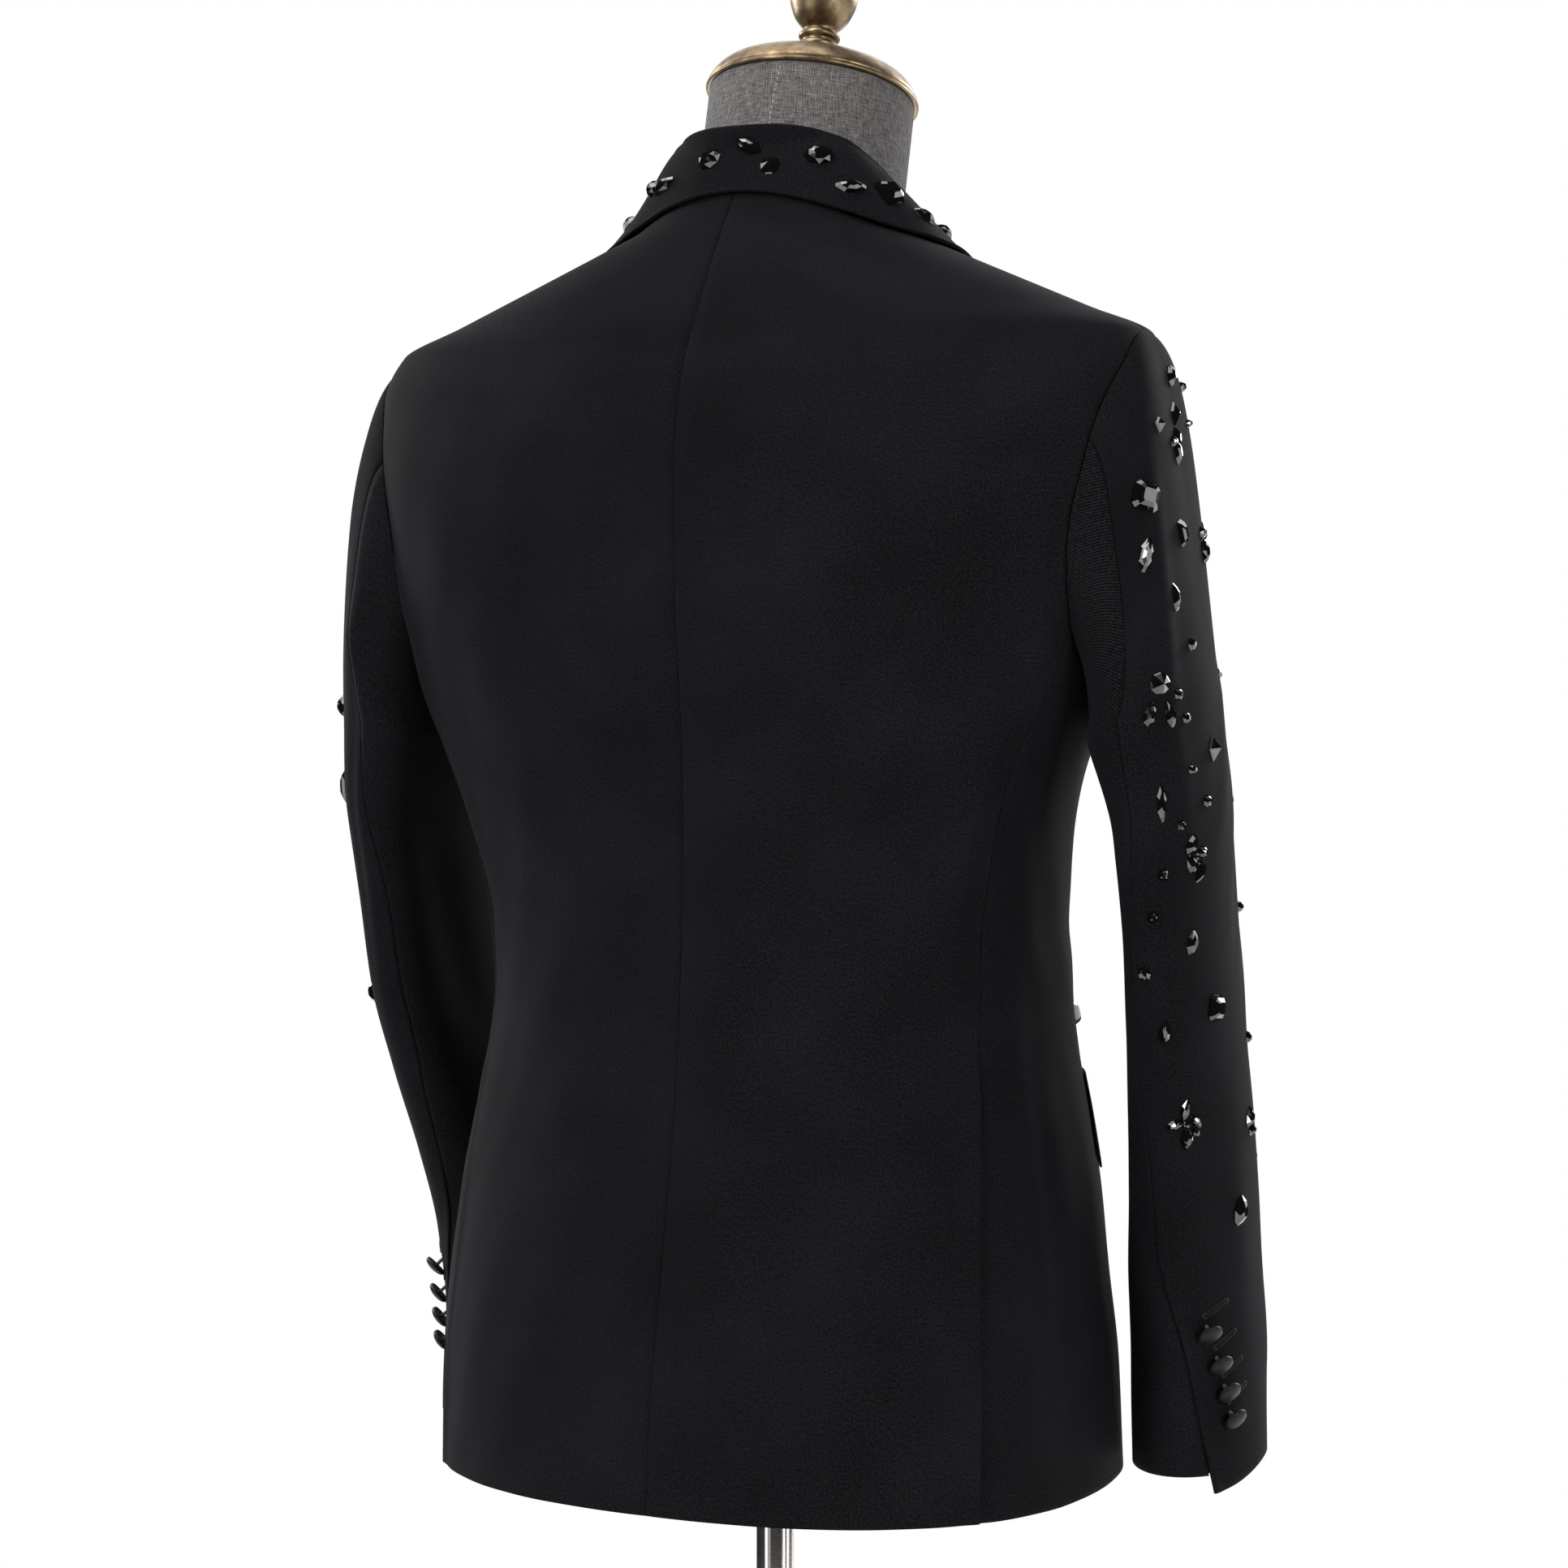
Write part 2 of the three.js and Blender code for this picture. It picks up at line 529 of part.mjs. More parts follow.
const fronts = {};
for (const { side, mirrored } of sides) {
  const lapped = side === "left";
  const tall = backHeights.length - 1;
  addPiece(`back_${side}`, clothWall(backSurface, { columns: 8, rows: tall, mirrored }), materials.cloth);
  const sideWall = clothWall(sideSurface, { columns: sideColumns, rows: lowHeights.length, mirrored });
  addPiece(`side_${side}`, sideWall, materials.cloth);
  const front = clothWall(frontSurface(lapped), { columns: 9, rows: tall, mirrored });
  const hip = {
    stone: hipStone,
    point: bodyPoint(hipStone.angle, hipStone.z),
    normal: bodyNormal(hipStone.angle, hipStone.z),
  };
  addPiece(`front_${side}`, withStones(front, [mirrorPlace(hip, mirrored)]), materials.cloth);
  fronts[side] = front;
  const lapel = lapelSurface(lapped);
  const lapelPlaces = lapelStones.map(({ across, up, ...stone }) => {
    const v = lapped ? up : (up - rightLapelStart) / (1 - rightLapelStart);
    const place = { stone, point: lapel(1 - across, v), normal: normalOf(lapel, 1 - across, v) };
    return mirrorPlace(place, mirrored);
  });
  const lapelWall = clothWall(lapel, { columns: lapelColumns.length - 1, rows: lapped ? 10 : 7, mirrored });
  addPiece(`lapel_${side}`, withStones(lapelWall, lapelPlaces), materials.cloth);
  const flapWall = clothWall(flapSurface(lapped), { columns: 8, rows: 2, mirrored });
  addPiece(`pocket_flap_${side}`, flapWall, materials.cloth);
}

function mirrorPlace({ stone, point, normal }, mirrored) {
  if (!mirrored) return { stone, point, normal };
  const flip = new THREE.Vector3(-1, 1, 1);
  return {
    stone: { ...stone, turn: -stone.turn },
    point: point.clone().multiply(flip),
    normal: normal.clone().multiply(flip),
  };
}

// Collar
function edgePoint({ angle, x, z }, height) {
  return x === undefined ? raisedBody(angle, z, height) : frontPoint(x, z, height, false);
}

function alongStations(stations, place, pick) {
  const points = stations.map(pick);
  const curve = new THREE.CatmullRomCurve3([...points.slice(1).reverse().map(mirrorPoint), ...points]);
  const last = stations.length - 1;
  return curve.getPoint(THREE.MathUtils.clamp((place + last) / (2 * last), 0, 1));
}
const mirrorPoint = (point) => new THREE.Vector3(-point.x, point.y, point.z);

const leafReach = collarStations.length - 1;
function leafPoint(place, up) {
  const edge = alongStations(collarStations, place, ({ edge: e }) => edgePoint(e, foldOver));
  const roll = alongStations(collarStations, place, ({ roll: [x, y, z] }) => new THREE.Vector3(x, y, z + 1));
  const outwards = new THREE.Vector3(roll.x, roll.y + 20, 0).normalize();
  const bulge = 4.6 * up * (1 - up) + 2 * (1 - up ** 8) * up;
  const point = edge.clone().lerp(roll, up).addScaledVector(outwards, bulge);
  point.z += 3 * up * up * (1 - up);
  return clearOfBody(point, foldOver + 0.5);
}

// Moves a point that is nearer to the body than a height out to that height.
function clearOfBody(point, height) {
  const { half, wide, back, front } = bodyRing(point.z);
  const depth = point.y > wide ? back - wide : wide - front;
  const across = Math.abs(point.x / half) ** (roundness / 2);
  const along = signedPower((point.y - wide) / depth, roundness / 2);
  const angle = degrees(Math.atan2(across, along));
  const mirror = point.x < 0 ? -1 : 1;
  const skin = bodyPoint(angle, point.z);
  const normal = bodyNormal(angle, point.z);
  skin.x *= mirror;
  normal.x *= mirror;
  const gap = point.clone().sub(skin).dot(normal);
  return gap < height ? point.addScaledVector(normal, height - gap) : point;
}
const leafSurface = (u, v) => leafPoint(mix(-leafReach, leafReach, u), v);

const standReach = standStations.length - 1;
const standDrop = 3.4; // the stand stops this far under the fold
const standInset = 1.6;
const footInset = 1.3; // the stand's foot lies this far inside the panels' top edge
function standSurface(u, v) {
  const place = mix(-standReach, standReach, u);
  const foot = alongStations(standStations, place, ({ foot: { angle, x, z } }) =>
    x === undefined ? bodyPoint(Math.max(angle, 0.01), neckSeam(angle)) : bodyPoint(frontAngle(x, z), z),
  );
  const roll = alongStations(standStations, place, ({ roll: [x, y, z] }) =>
    new THREE.Vector3(x, y, z - standDrop),
  );
  const outwards = new THREE.Vector3(roll.x, roll.y + 20, 0).normalize();
  foot.addScaledVector(outwards, -footInset);
  return foot.lerp(roll.addScaledVector(outwards, -standInset), v);
}

const collarPlaces = collarStones.map(({ along, up, ...stone }) => {
  const u = (along + leafReach) / (2 * leafReach);
  return { stone, point: leafSurface(u, up), normal: normalOf(leafSurface, u, up) };
});
const leafWall = clothWall(leafSurface, { columns: 32, rows: 4 });
addPiece("collar_leaf", withStones(leafWall, collarPlaces), materials.cloth);
addPiece("collar_stand", clothWall(standSurface, { columns: 24, rows: 2 }), materials.cloth);

// Sleeves
function armholePoint(angle) {
  const sine = Math.sin(radians(angle));
  const z = armholeCentre + armholeRise * Math.cos(radians(angle));
  const half = sine > 0 ? armholeBackHalf : armholeFrontHalf;
  return bodyPoint(armholeMiddle - half * sine, z);
}

function sleeveSection(angle, z) {
  const ring = sleeveRing(z);
  const out = ring.half * Math.cos(radians(angle));
  const back = ring.depth * Math.sin(radians(angle));
  return new THREE.Vector3(
    ring.x + out * Math.cos(sleeveTurn) + back * Math.sin(sleeveTurn),
    ring.y + back * Math.cos(sleeveTurn) - out * Math.sin(sleeveTurn),
    z + ring.rise * Math.cos(radians(angle)),
  );
}

// The way runs from 0 at the armhole over 1 at the end of the head to 2 at the cuff.
function plainSleeve(angle, way) {
  if (way >= 1) return sleeveSection(angle, mix(capEnd, cuff, way - 1));
  const cosine = Math.cos(radians(angle));
  const sine = Math.sin(radians(angle));
  const fullness = Math.max(sine, 0);
  const start = armholePoint(angle).add(new THREE.Vector3(0.6, 0, 0));
  const end = sleeveSection(angle, capEnd);
  const reach = 46 + 37 * cosine;
  const first = start.clone().add(
    new THREE.Vector3(6.5 + 7.5 * cosine + 9 * fullness, 3 * fullness, -8 - 6 * sine * sine),
  );
  const second = end.clone().add(
    new THREE.Vector3(5 * fullness - 0.15 * reach * Math.max(cosine, 0), 2 * fullness, reach),
  );
  return new THREE.CubicBezierCurve3(start, first, second, end).getPoint(Math.max(way, 0));
}

function foldHeight(angle, way) {
  return sleeveFolds.reduce((height, fold) => {
    const across = Math.exp(-(((angle - fold.angle) / fold.width) ** 2));
    const soft = (fold.end - fold.start) * 0.35;
    const along = smooth(way, fold.start, fold.start + soft) * (1 - smooth(way, fold.end - soft, fold.end));
    return height + fold.height * across * along;
  }, 0);
}

function sleevePoint(angle, way) {
  const normal = normalOf((u, v) => plainSleeve(u * 100, v), angle / 100, Math.max(way, 0.01));
  return plainSleeve(angle, way).addScaledVector(normal, foldHeight(angle, way));
}

const sleeveNormal = (angle, way) => normalOf((u, v) => sleevePoint(u * 100, v), angle / 100, way);

// Rows of a sleeve: closer together at the head.
const sleeveWays = [0, 0.1, 0.24, 0.4, 0.6, 0.8, 1, 1.14, 1.28, 1.42, 1.56, 1.7, 1.82, 1.92, 2];
const sleeveSeamAngle = 0.54; // half the gap of a sleeve seam, as an angle

// Angles round the armhole that match the rows of the panels and the columns of the side panel.
const besideArmhole = armholeHeights.map((z) => degrees(Math.acos((z - armholeCentre) / armholeRise)));
const underArmhole = Array.from({ length: sideColumns + 1 }, (_, i) => {
  const angle = mix(sideTop.back, sideTop.front, i / sideColumns);
  const half = angle < armholeMiddle ? armholeBackHalf : armholeFrontHalf;
  return 180 - degrees(Math.asin((armholeMiddle - angle) / half));
});
const seamHeights = { hind: 1284, fore: 1220 }; // where the sleeve's seams start on the armhole
const hindStart = besideArmhole[armholeHeights.indexOf(seamHeights.hind)];
const foreStart = -besideArmhole[armholeHeights.indexOf(seamHeights.fore)];
const allRound = [
  ...besideArmhole.map((angle) => -angle), ...besideArmhole.slice(0, -1).reverse(), ...underArmhole,
  ...besideArmhole.map((angle) => 360 - angle),
];
const upperAngles = allRound.filter((angle) => angle > foreStart - 0.1 && angle < hindStart + 0.1);
const underAngles = allRound.filter((angle) => angle > hindStart - 0.1 && angle < foreStart + 360.1);

// Columns match the armhole at its edge and spread evenly down the sleeve.
function sleeveAngle(angles, start, end, u, way) {
  const atArmhole = (listAt(angles, u) - angles[0]) / (angles[angles.length - 1] - angles[0]);
  return mix(start, end, mix(atArmhole, THREE.MathUtils.clamp(u, 0, 1), smooth(way, 0, 0.6)));
}

function seamAngles(way) {
  const settled = smooth(way, 0, 0.5);
  return {
    hind: mix(hindStart, hindAngle(way).angle, settled),
    fore: mix(foreStart, foreSeam, settled),
  };
}

function upperSleeve(u, v) {
  const way = listAt(sleeveWays, v);
  const { hind, fore } = seamAngles(way);
  const atCuff = smooth(way, 1.93, 2);
  const end = hind - sleeveSeamAngle - 0.4 * ventTip * atCuff;
  const point = sleevePoint(sleeveAngle(upperAngles, fore + sleeveSeamAngle, end, u, way), way);
  point.z -= ventTip * smooth(u, 0.86, 1) * atCuff;
  return point;
}

function underSleeve(u, v) {
  const way = listAt(sleeveWays, v);
  const { hind, fore } = seamAngles(way);
  const end = 360 + fore - sleeveSeamAngle;
  return sleevePoint(sleeveAngle(underAngles, hind + sleeveSeamAngle, end, u, way), way);
}

function buttonGeometry({ radius, dome, shank, foot, segments }) {
  const rim = dome * 0.35;
  const points = [
    [0, 0], [foot, 0], [foot * 0.8, shank], [radius * 0.8, shank], [radius, shank + rim],
    [radius * 0.75, shank + dome * 0.85], [0, shank + dome * 1.06],
  ];
  return new THREE.LatheGeometry(points.map(([x, y]) => new THREE.Vector2(x, y)), segments);
}

const closedLathe = (geometry) => geometryOf(solidOf(geometry));

// A button stands just clear of the wall under it; a drooping one hangs from its shank.
function addButton(name, size, wall, point, normal, droop = 0) {
  const seat = seatOn(wall, point, normal);
  const geometry = closedLathe(buttonGeometry(size));
  geometry.applyMatrix4(new THREE.Matrix4().makeRotationX(droop));
  const clear = size.foot * Math.sin(Math.abs(droop)) + seam + 0.1;
  geometry.applyMatrix4(standOn(seat.point.addScaledVector(seat.normal, clear), seat.normal));
  addPiece(name, geometry, materials.satin);
}

for (const { side, mirrored } of sides) {
  const places = sleeveStones.map(({ angle, way, ...stone }) => {
    const around = mirrored ? angle : angle - leftStoneTurn;
    return mirrorPlace({ stone, point: sleevePoint(around, way), normal: sleeveNormal(around, way) }, mirrored);
  });
  const rows = sleeveWays.length - 1;
  const upper = clothWall(upperSleeve, { columns: upperAngles.length - 1, rows, mirrored });
  addPiece(`sleeve_upper_${side}`, withStones(upper, places), materials.cloth);
  const under = clothWall(underSleeve, { columns: underAngles.length - 1, rows, mirrored });
  addPiece(`sleeve_under_${side}`, under, materials.cloth);
  cuffButtons.forEach(({ angle, way }, i) => {
    const flat = { stone: {}, point: sleevePoint(angle, way), normal: sleeveNormal(angle, way) };
    const place = mirrorPlace(flat, mirrored);
    addButton(`cuff_button_${side}_${i + 1}`, cuffButton, upper, place.point, place.normal, cuffButtonDroop);
  });
}

// Front buttons: the lower pairs sit on the overlap, the high right one on the right front.
for (const { name, x, z } of frontButtons) {
  for (const { side, mirrored } of sides) {
    const across = mirrored ? -x : x;
    const onLeftFront = across > frontEdge(z);
    const angle = frontAngle(across, z);
    const lift = onLeftFront ? lapHeight(across, z) : 0;
    const wall = onLeftFront ? fronts.left : fronts.right;
    const point = raisedBody(angle, z, lift);
    addButton(`button_${name}_${side}`, frontButton, wall, point, bodyNormal(angle, z));
  }
}

// Dress form: the torso follows the jacket from inside and touches nothing but the shoulders' lining.
const formClearance = reader([
  { z: 780, inset: 14 }, { z: 1180, inset: 13 }, { z: 1260, inset: 10 }, { z: 1320, inset: 6 },
  { z: 1345, inset: cloth + 1.2 }, { z: 1357, inset: cloth + 0.5 }, { z: 1385, inset: cloth + 0.5 },
  { z: 1398, inset: cloth + 2.5 }, { z: 1416, inset: 9 },
]);
const chestClearance = 1.6; // more room in front, where the facets of panel and form don't match
const formHeights = [
  formBottom, 850, 905, 955, 1000, 1045, 1085, 1122, 1160, 1200, 1240, 1284, 1320, 1340, 1350, 1357, 1367, 1380,
  1394, 1404, 1414,
];
const formColumns = 32;

function torsoGeometry() {
  const points = formHeights.flatMap((z) =>
    Array.from({ length: formColumns }, (_, i) => {
      const angle = (360 * i) / formColumns;
      const inFront = 1 - smooth(Math.abs(180 - angle), 78, 92);
      const inset = formClearance(z).inset + chestClearance * inFront;
      const point = raisedBody(angle, z, -inset);
      if (z === formBottom) point.z = formBottom;
      return point;
    }),
  );
  const top = points.length + 1;
  points.push(new THREE.Vector3(0, 0, formBottom), new THREE.Vector3(0, 0, 1420));
  const triangles = [];
  for (let i = 0; i < formColumns; i += 1) {
    const next = (i + 1) % formColumns;
    for (let j = 0; j < formHeights.length - 1; j += 1) {
      const [a, b] = [j * formColumns + i, j * formColumns + next];
      triangles.push([a, a + formColumns, b + formColumns], [a, b + formColumns, b]);
    }
    const last = (formHeights.length - 1) * formColumns;
    triangles.push([top - 1, i, next], [last + i, top, last + next]);
  }
  return closedGeometry(points, triangles);
}

const neckLength = 125;
const neckFrame = new THREE.Matrix4().makeTranslation(0, neckTop.y, neckTop.z)
  .multiply(new THREE.Matrix4().makeRotationX(Math.PI / 2 + neckTilt));

function neckGeometry() {
  const geometry = new THREE.CylinderGeometry(neckRadius, neckRadius + 1.5, neckLength, 28);
  geometry.translate(0, -neckLength / 2, 0);
  return geometry.applyMatrix4(neckFrame);
}
addPiece("form_torso", geometryOf(solidOf(torsoGeometry()).add(solidOf(neckGeometry()))), materials.linen);

// A turned piece of the form: radius and height pairs from the axis up and back to the axis.
function turned(profile, segments) {
  return closedLathe(new THREE.LatheGeometry(profile.map(([r, h]) => new THREE.Vector2(r, h)), segments));
}

const capHeight = 23.2;
const capProfile = [
  [0, 0], [60.5, 0], [62, 2], [60.4, 4.4], [60.4, 6.6], [56, 11.5], [46, 17.2], [30, 21.8], [13.5, capHeight],
  [0, capHeight],
];
const finialProfile = [
  [0, 0], [12, 0], [13, 1.6], [9.6, 4.6], [9.6, 6], [11.9, 7.4], [11.9, 9.6], [9.4, 11.6], [11.4, 13.8],
  [11.4, 16], [9, 18], [13, 22.5], [18.4, 30], [20.4, 39], [18.4, 49], [12, 57], [0, 61],
];
const form = new THREE.Group();
form.position.set(0, neckTop.y, neckTop.z);
form.rotation.x = Math.PI / 2 + neckTilt;
suit.add(form);
const cap = addPiece("neck_cap", turned(capProfile, 28), materials.brass, form);
cap.position.y = seam;
const finial = addPiece("finial", turned(finialProfile, 16), materials.brass, form);
finial.position.y = 2 * seam + capHeight;

const stand = new THREE.Group();
stand.rotation.x = Math.PI / 2;
suit.add(stand);
const baseTop = 14;
const baseProfile = [[0, 0], [148, 0], [150, 2], [150, 7], [147, 9.5], [60, 13], [26, baseTop], [0, baseTop]];
const socketBore = poleRadius + seam;
const socketProfile = [
  [socketBore, 0], [27, 0], [27, 3], [19, 6], [17, 34], [15.5, 36], [socketBore, 36], [socketBore, 0],
];
addPiece("base", turned(baseProfile, 32), materials.chrome, stand);
const socket = addPiece("pole_socket", turned(socketProfile, 20), materials.chrome, stand);
socket.position.y = baseTop + seam;
const poleLength = formBottom - baseTop - 2 * seam;
const poleTube = closedLathe(new THREE.CylinderGeometry(poleRadius, poleRadius, poleLength, 20));
const pole = addPiece("pole", poleTube, materials.chrome, stand);
pole.position.y = baseTop + seam + poleLength / 2;

export default suit;
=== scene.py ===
# Black double-breasted suit jacket with sewn-on faceted stones, on a limbless dress form.
# The wearer's front is -Y and the wearer's left is +X. Shapes are worked out in mm and built in metres.
import bpy
import math
import numpy as np
from mathutils import Matrix, Vector


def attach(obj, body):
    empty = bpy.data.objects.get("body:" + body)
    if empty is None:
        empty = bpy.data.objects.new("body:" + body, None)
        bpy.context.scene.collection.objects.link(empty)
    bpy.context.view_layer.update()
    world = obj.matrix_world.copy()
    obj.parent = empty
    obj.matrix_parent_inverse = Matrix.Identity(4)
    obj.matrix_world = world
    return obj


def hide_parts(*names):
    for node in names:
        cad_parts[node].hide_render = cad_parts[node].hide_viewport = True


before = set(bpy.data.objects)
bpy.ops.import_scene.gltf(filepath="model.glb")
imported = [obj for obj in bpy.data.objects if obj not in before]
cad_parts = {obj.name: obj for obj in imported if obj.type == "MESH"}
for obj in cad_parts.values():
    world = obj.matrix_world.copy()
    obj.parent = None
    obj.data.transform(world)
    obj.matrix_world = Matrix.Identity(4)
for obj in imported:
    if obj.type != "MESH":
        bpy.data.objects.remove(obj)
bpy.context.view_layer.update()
mm = 0.001
print("frame loaded:", len(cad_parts), "CAD nodes")

# Camera


def placeCamera():
    shot = {
        "place": (-0.9124, 1.7797, 1.165),  # two metres behind the form, to its right
        "azimuth": 207.0,
        "pitchDown": 1.8,
        "lens": 82.0,
    }
    camera = bpy.data.objects.new("photoCamera", bpy.data.cameras.new("photoCamera"))
    bpy.context.collection.objects.link(camera)
    turn, tilt = math.radians(shot["azimuth"] - 180), math.radians(shot["pitchDown"])
    look = Vector((math.sin(turn) * math.cos(tilt), -math.cos(turn) * math.cos(tilt), -math.sin(tilt)))
    camera.location = shot["place"]
    camera.rotation_mode = "QUATERNION"
    camera.rotation_quaternion = look.to_track_quat("-Z", "Y")
    camera.data.sensor_width = 36
    camera.data.lens = shot["lens"]
    camera.data.clip_end = 100
    bpy.context.scene.camera = camera


placeCamera()
print("camera placed")

# Materials


def hexColour(text):
    parts = [int(text[i : i + 2], 16) / 255 for i in (1, 3, 5)]
    return [p / 12.92 if p <= 0.04045 else ((p + 0.055) / 1.055) ** 2.4 for p in parts] + [1.0]


def grainScale(size):
    return 1 / (size * mm)  # of a noise texture, for grains of this many mm


def bandScale(spacing):
    return math.tau / (20 * spacing * mm)  # of a wave texture, which repeats every tau / 20 at scale 1


def linkTo(tree, node, links):
    for key, source in links.items():
        tree.links.new(source, node.inputs[key])


def addNode(tree, kind, settings=None, inputs=None, links=None):
    node = tree.nodes.new(kind)
    for key, value in (settings or {}).items():
        setattr(node, key, value)
    for key, value in (inputs or {}).items():
        node.inputs[key].default_value = value
    linkTo(tree, node, links or {})
    return node


def newMaterial(name, constants):
    material = bpy.data.materials.new(name)
    material.use_nodes = True
    tree = material.node_tree
    shader = tree.nodes["Principled BSDF"]
    for key, value in constants.items():
        shader.inputs[key].default_value = value
    return material, tree, shader


def setRamp(node, stops):
    ramp = node.color_ramp
    while len(ramp.elements) < len(stops):
        ramp.elements.new(0.5)
    for element, (place, colour) in zip(ramp.elements, stops):
        element.position = place
        element.color = hexColour(colour)


def makeWool():
    # Worsted wool suiting, woven as a fine twill and pressed: dead matt, with a dry, slightly mottled face.
    wool = {
        "tones": [(0.43, "#020203"), (0.61, "#1b1b1e")],
        "melange": 1.3,  # mm, clumps of lighter fibre
        "twill": 0.8,  # mm between diagonals
        "twillTurn": 63,  # degrees from the warp
        "twillShare": 0.22,
        "cloud": 90.0,  # mm, wide soft changes of tone from pressing
        "cloudShare": 0.2,
        "roughness": {"To Min": 0.78, "To Max": 0.95},
        "bump": {"Strength": 0.5, "Distance": 0.0004},
    }
    material, tree, shader = newMaterial("worstedWoolTwill", {
        "Specular IOR Level": 0.07,
        "Sheen Weight": 0.014,
        "Sheen Roughness": 0.45,
        "Sheen Tint": hexColour("#b4bccf"),
    })
    uv = addNode(tree, "ShaderNodeTexCoord").outputs["UV"]  # the UV map is in metres on the cloth
    speck = addNode(tree, "ShaderNodeTexNoise",
                    inputs={"Scale": grainScale(wool["melange"]), "Detail": 3.0, "Roughness": 0.65},
                    links={"Vector": uv})
    turned = addNode(tree, "ShaderNodeMapping",
                     inputs={"Rotation": (0, 0, math.radians(wool["twillTurn"]))}, links={"Vector": uv})
    twill = addNode(tree, "ShaderNodeTexWave", {"wave_type": "BANDS", "bands_direction": "X"},
                    {"Scale": bandScale(wool["twill"]), "Distortion": 1.2, "Detail": 2.0,
                     "Detail Scale": 2.0},
                    {"Vector": turned.outputs["Vector"]})
    cloud = addNode(tree, "ShaderNodeTexNoise",
                    inputs={"Scale": grainScale(wool["cloud"]), "Detail": 2.0}, links={"Vector": uv})
    weave = addNode(tree, "ShaderNodeMix", {"data_type": "FLOAT"}, {"Factor": wool["twillShare"]},
                    {"A": speck.outputs["Fac"], "B": twill.outputs["Fac"]})
    tone = addNode(tree, "ShaderNodeMix", {"data_type": "FLOAT"}, {"Factor": wool["cloudShare"]},
                   {"A": weave.outputs["Result"], "B": cloud.outputs["Fac"]})
    colour = addNode(tree, "ShaderNodeValToRGB", links={"Fac": tone.outputs["Result"]})
    setRamp(colour, wool["tones"])
    rough = addNode(tree, "ShaderNodeMapRange", inputs=wool["roughness"],
                    links={"Value": speck.outputs["Fac"]})
    bump = addNode(tree, "ShaderNodeBump", inputs=wool["bump"], links={"Height": weave.outputs["Result"]})
    linkTo(tree, shader, {"Base Color": colour.outputs["Color"], "Roughness": rough.outputs["Result"],
                          "Normal": bump.outputs["Normal"]})
    return material


def makeLining():
    # Viscose twill lining: smooth, with a soft silky gloss.
    lining = {"colour": "#0e0e10", "thread": 1.0, "bump": {"Strength": 0.1, "Distance": 0.0002}}
    material, tree, shader = newMaterial("viscoseLining", {
        "Base Color": hexColour(lining["colour"]),
        "Roughness": 0.38,
    })
    uv = addNode(tree, "ShaderNodeTexCoord").outputs["UV"]
    ribs = addNode(tree, "ShaderNodeTexWave", {"bands_direction": "DIAGONAL"},
                   {"Scale": bandScale(lining["thread"]), "Distortion": 0.6}, {"Vector": uv})
    bump = addNode(tree, "ShaderNodeBump", inputs=lining["bump"], links={"Height": ribs.outputs["Fac"]})
    linkTo(tree, shader, {"Normal": bump.outputs["Normal"]})
    return material


def makeSatin():
    # Duchesse satin stretched over a button mould: dark, with a broad soft highlight.
    satin = {"colour": "#070709", "thread": 0.5, "bump": {"Strength": 0.18, "Distance": 0.0002}}
    material, tree, shader = newMaterial("duchesseSatin", {
        "Base Color": hexColour(satin["colour"]),
        "Roughness": 0.48,
        "Specular IOR Level": 0.22,
        "Sheen Weight": 0.015,
        "Sheen Roughness": 0.3,
    })
    place = addNode(tree, "ShaderNodeTexCoord").outputs["Object"]
    floats = addNode(tree, "ShaderNodeTexNoise",
                     inputs={"Scale": grainScale(satin["thread"]), "Detail": 2.0}, links={"Vector": place})
    bump = addNode(tree, "ShaderNodeBump", inputs=satin["bump"], links={"Height": floats.outputs["Fac"]})
    linkTo(tree, shader, {"Normal": bump.outputs["Normal"]})
    return material


def makeThread(name, colour, roughness):
    # Spun thread: two strands twisted, with a faint silky gloss.
    thread = {"twist": 0.6, "bump": {"Strength": 0.4, "Distance": 0.0002}}
    material, tree, shader = newMaterial(name, {"Base Color": hexColour(colour), "Roughness": roughness})
    place = addNode(tree, "ShaderNodeTexCoord").outputs["Object"]
    twist = addNode(tree, "ShaderNodeTexWave", {"bands_direction": "DIAGONAL"},
                    {"Scale": bandScale(thread["twist"]), "Distortion": 0.4}, {"Vector": place})
    bump = addNode(tree, "ShaderNodeBump", inputs=thread["bump"], links={"Height": twist.outputs["Fac"]})
    linkTo(tree, shader, {"Normal": bump.outputs["Normal"]})
    return material


def makeJet():
    # Cut and polished jet-black glass: deep black, facets that are mirror-bright or black as they turn.
    jet = {"colour": "#050506", "streak": 5.0, "roughness": {"To Min": 0.015, "To Max": 0.07}}
    material, tree, shader = newMaterial("jetBlackGlass", {
        "Base Color": hexColour(jet["colour"]),
        "IOR": 1.62,
        "Specular IOR Level": 0.75,
    })
    place = addNode(tree, "ShaderNodeTexCoord").outputs["Object"]
    smear = addNode(tree, "ShaderNodeTexNoise",
                    inputs={"Scale": grainScale(jet["streak"]), "Detail": 3.0}, links={"Vector": place})
    rough = addNode(tree, "ShaderNodeMapRange", inputs=jet["roughness"],
                    links={"Value": smear.outputs["Fac"]})
    linkTo(tree, shader, {"Roughness": rough.outputs["Result"]})
    return material


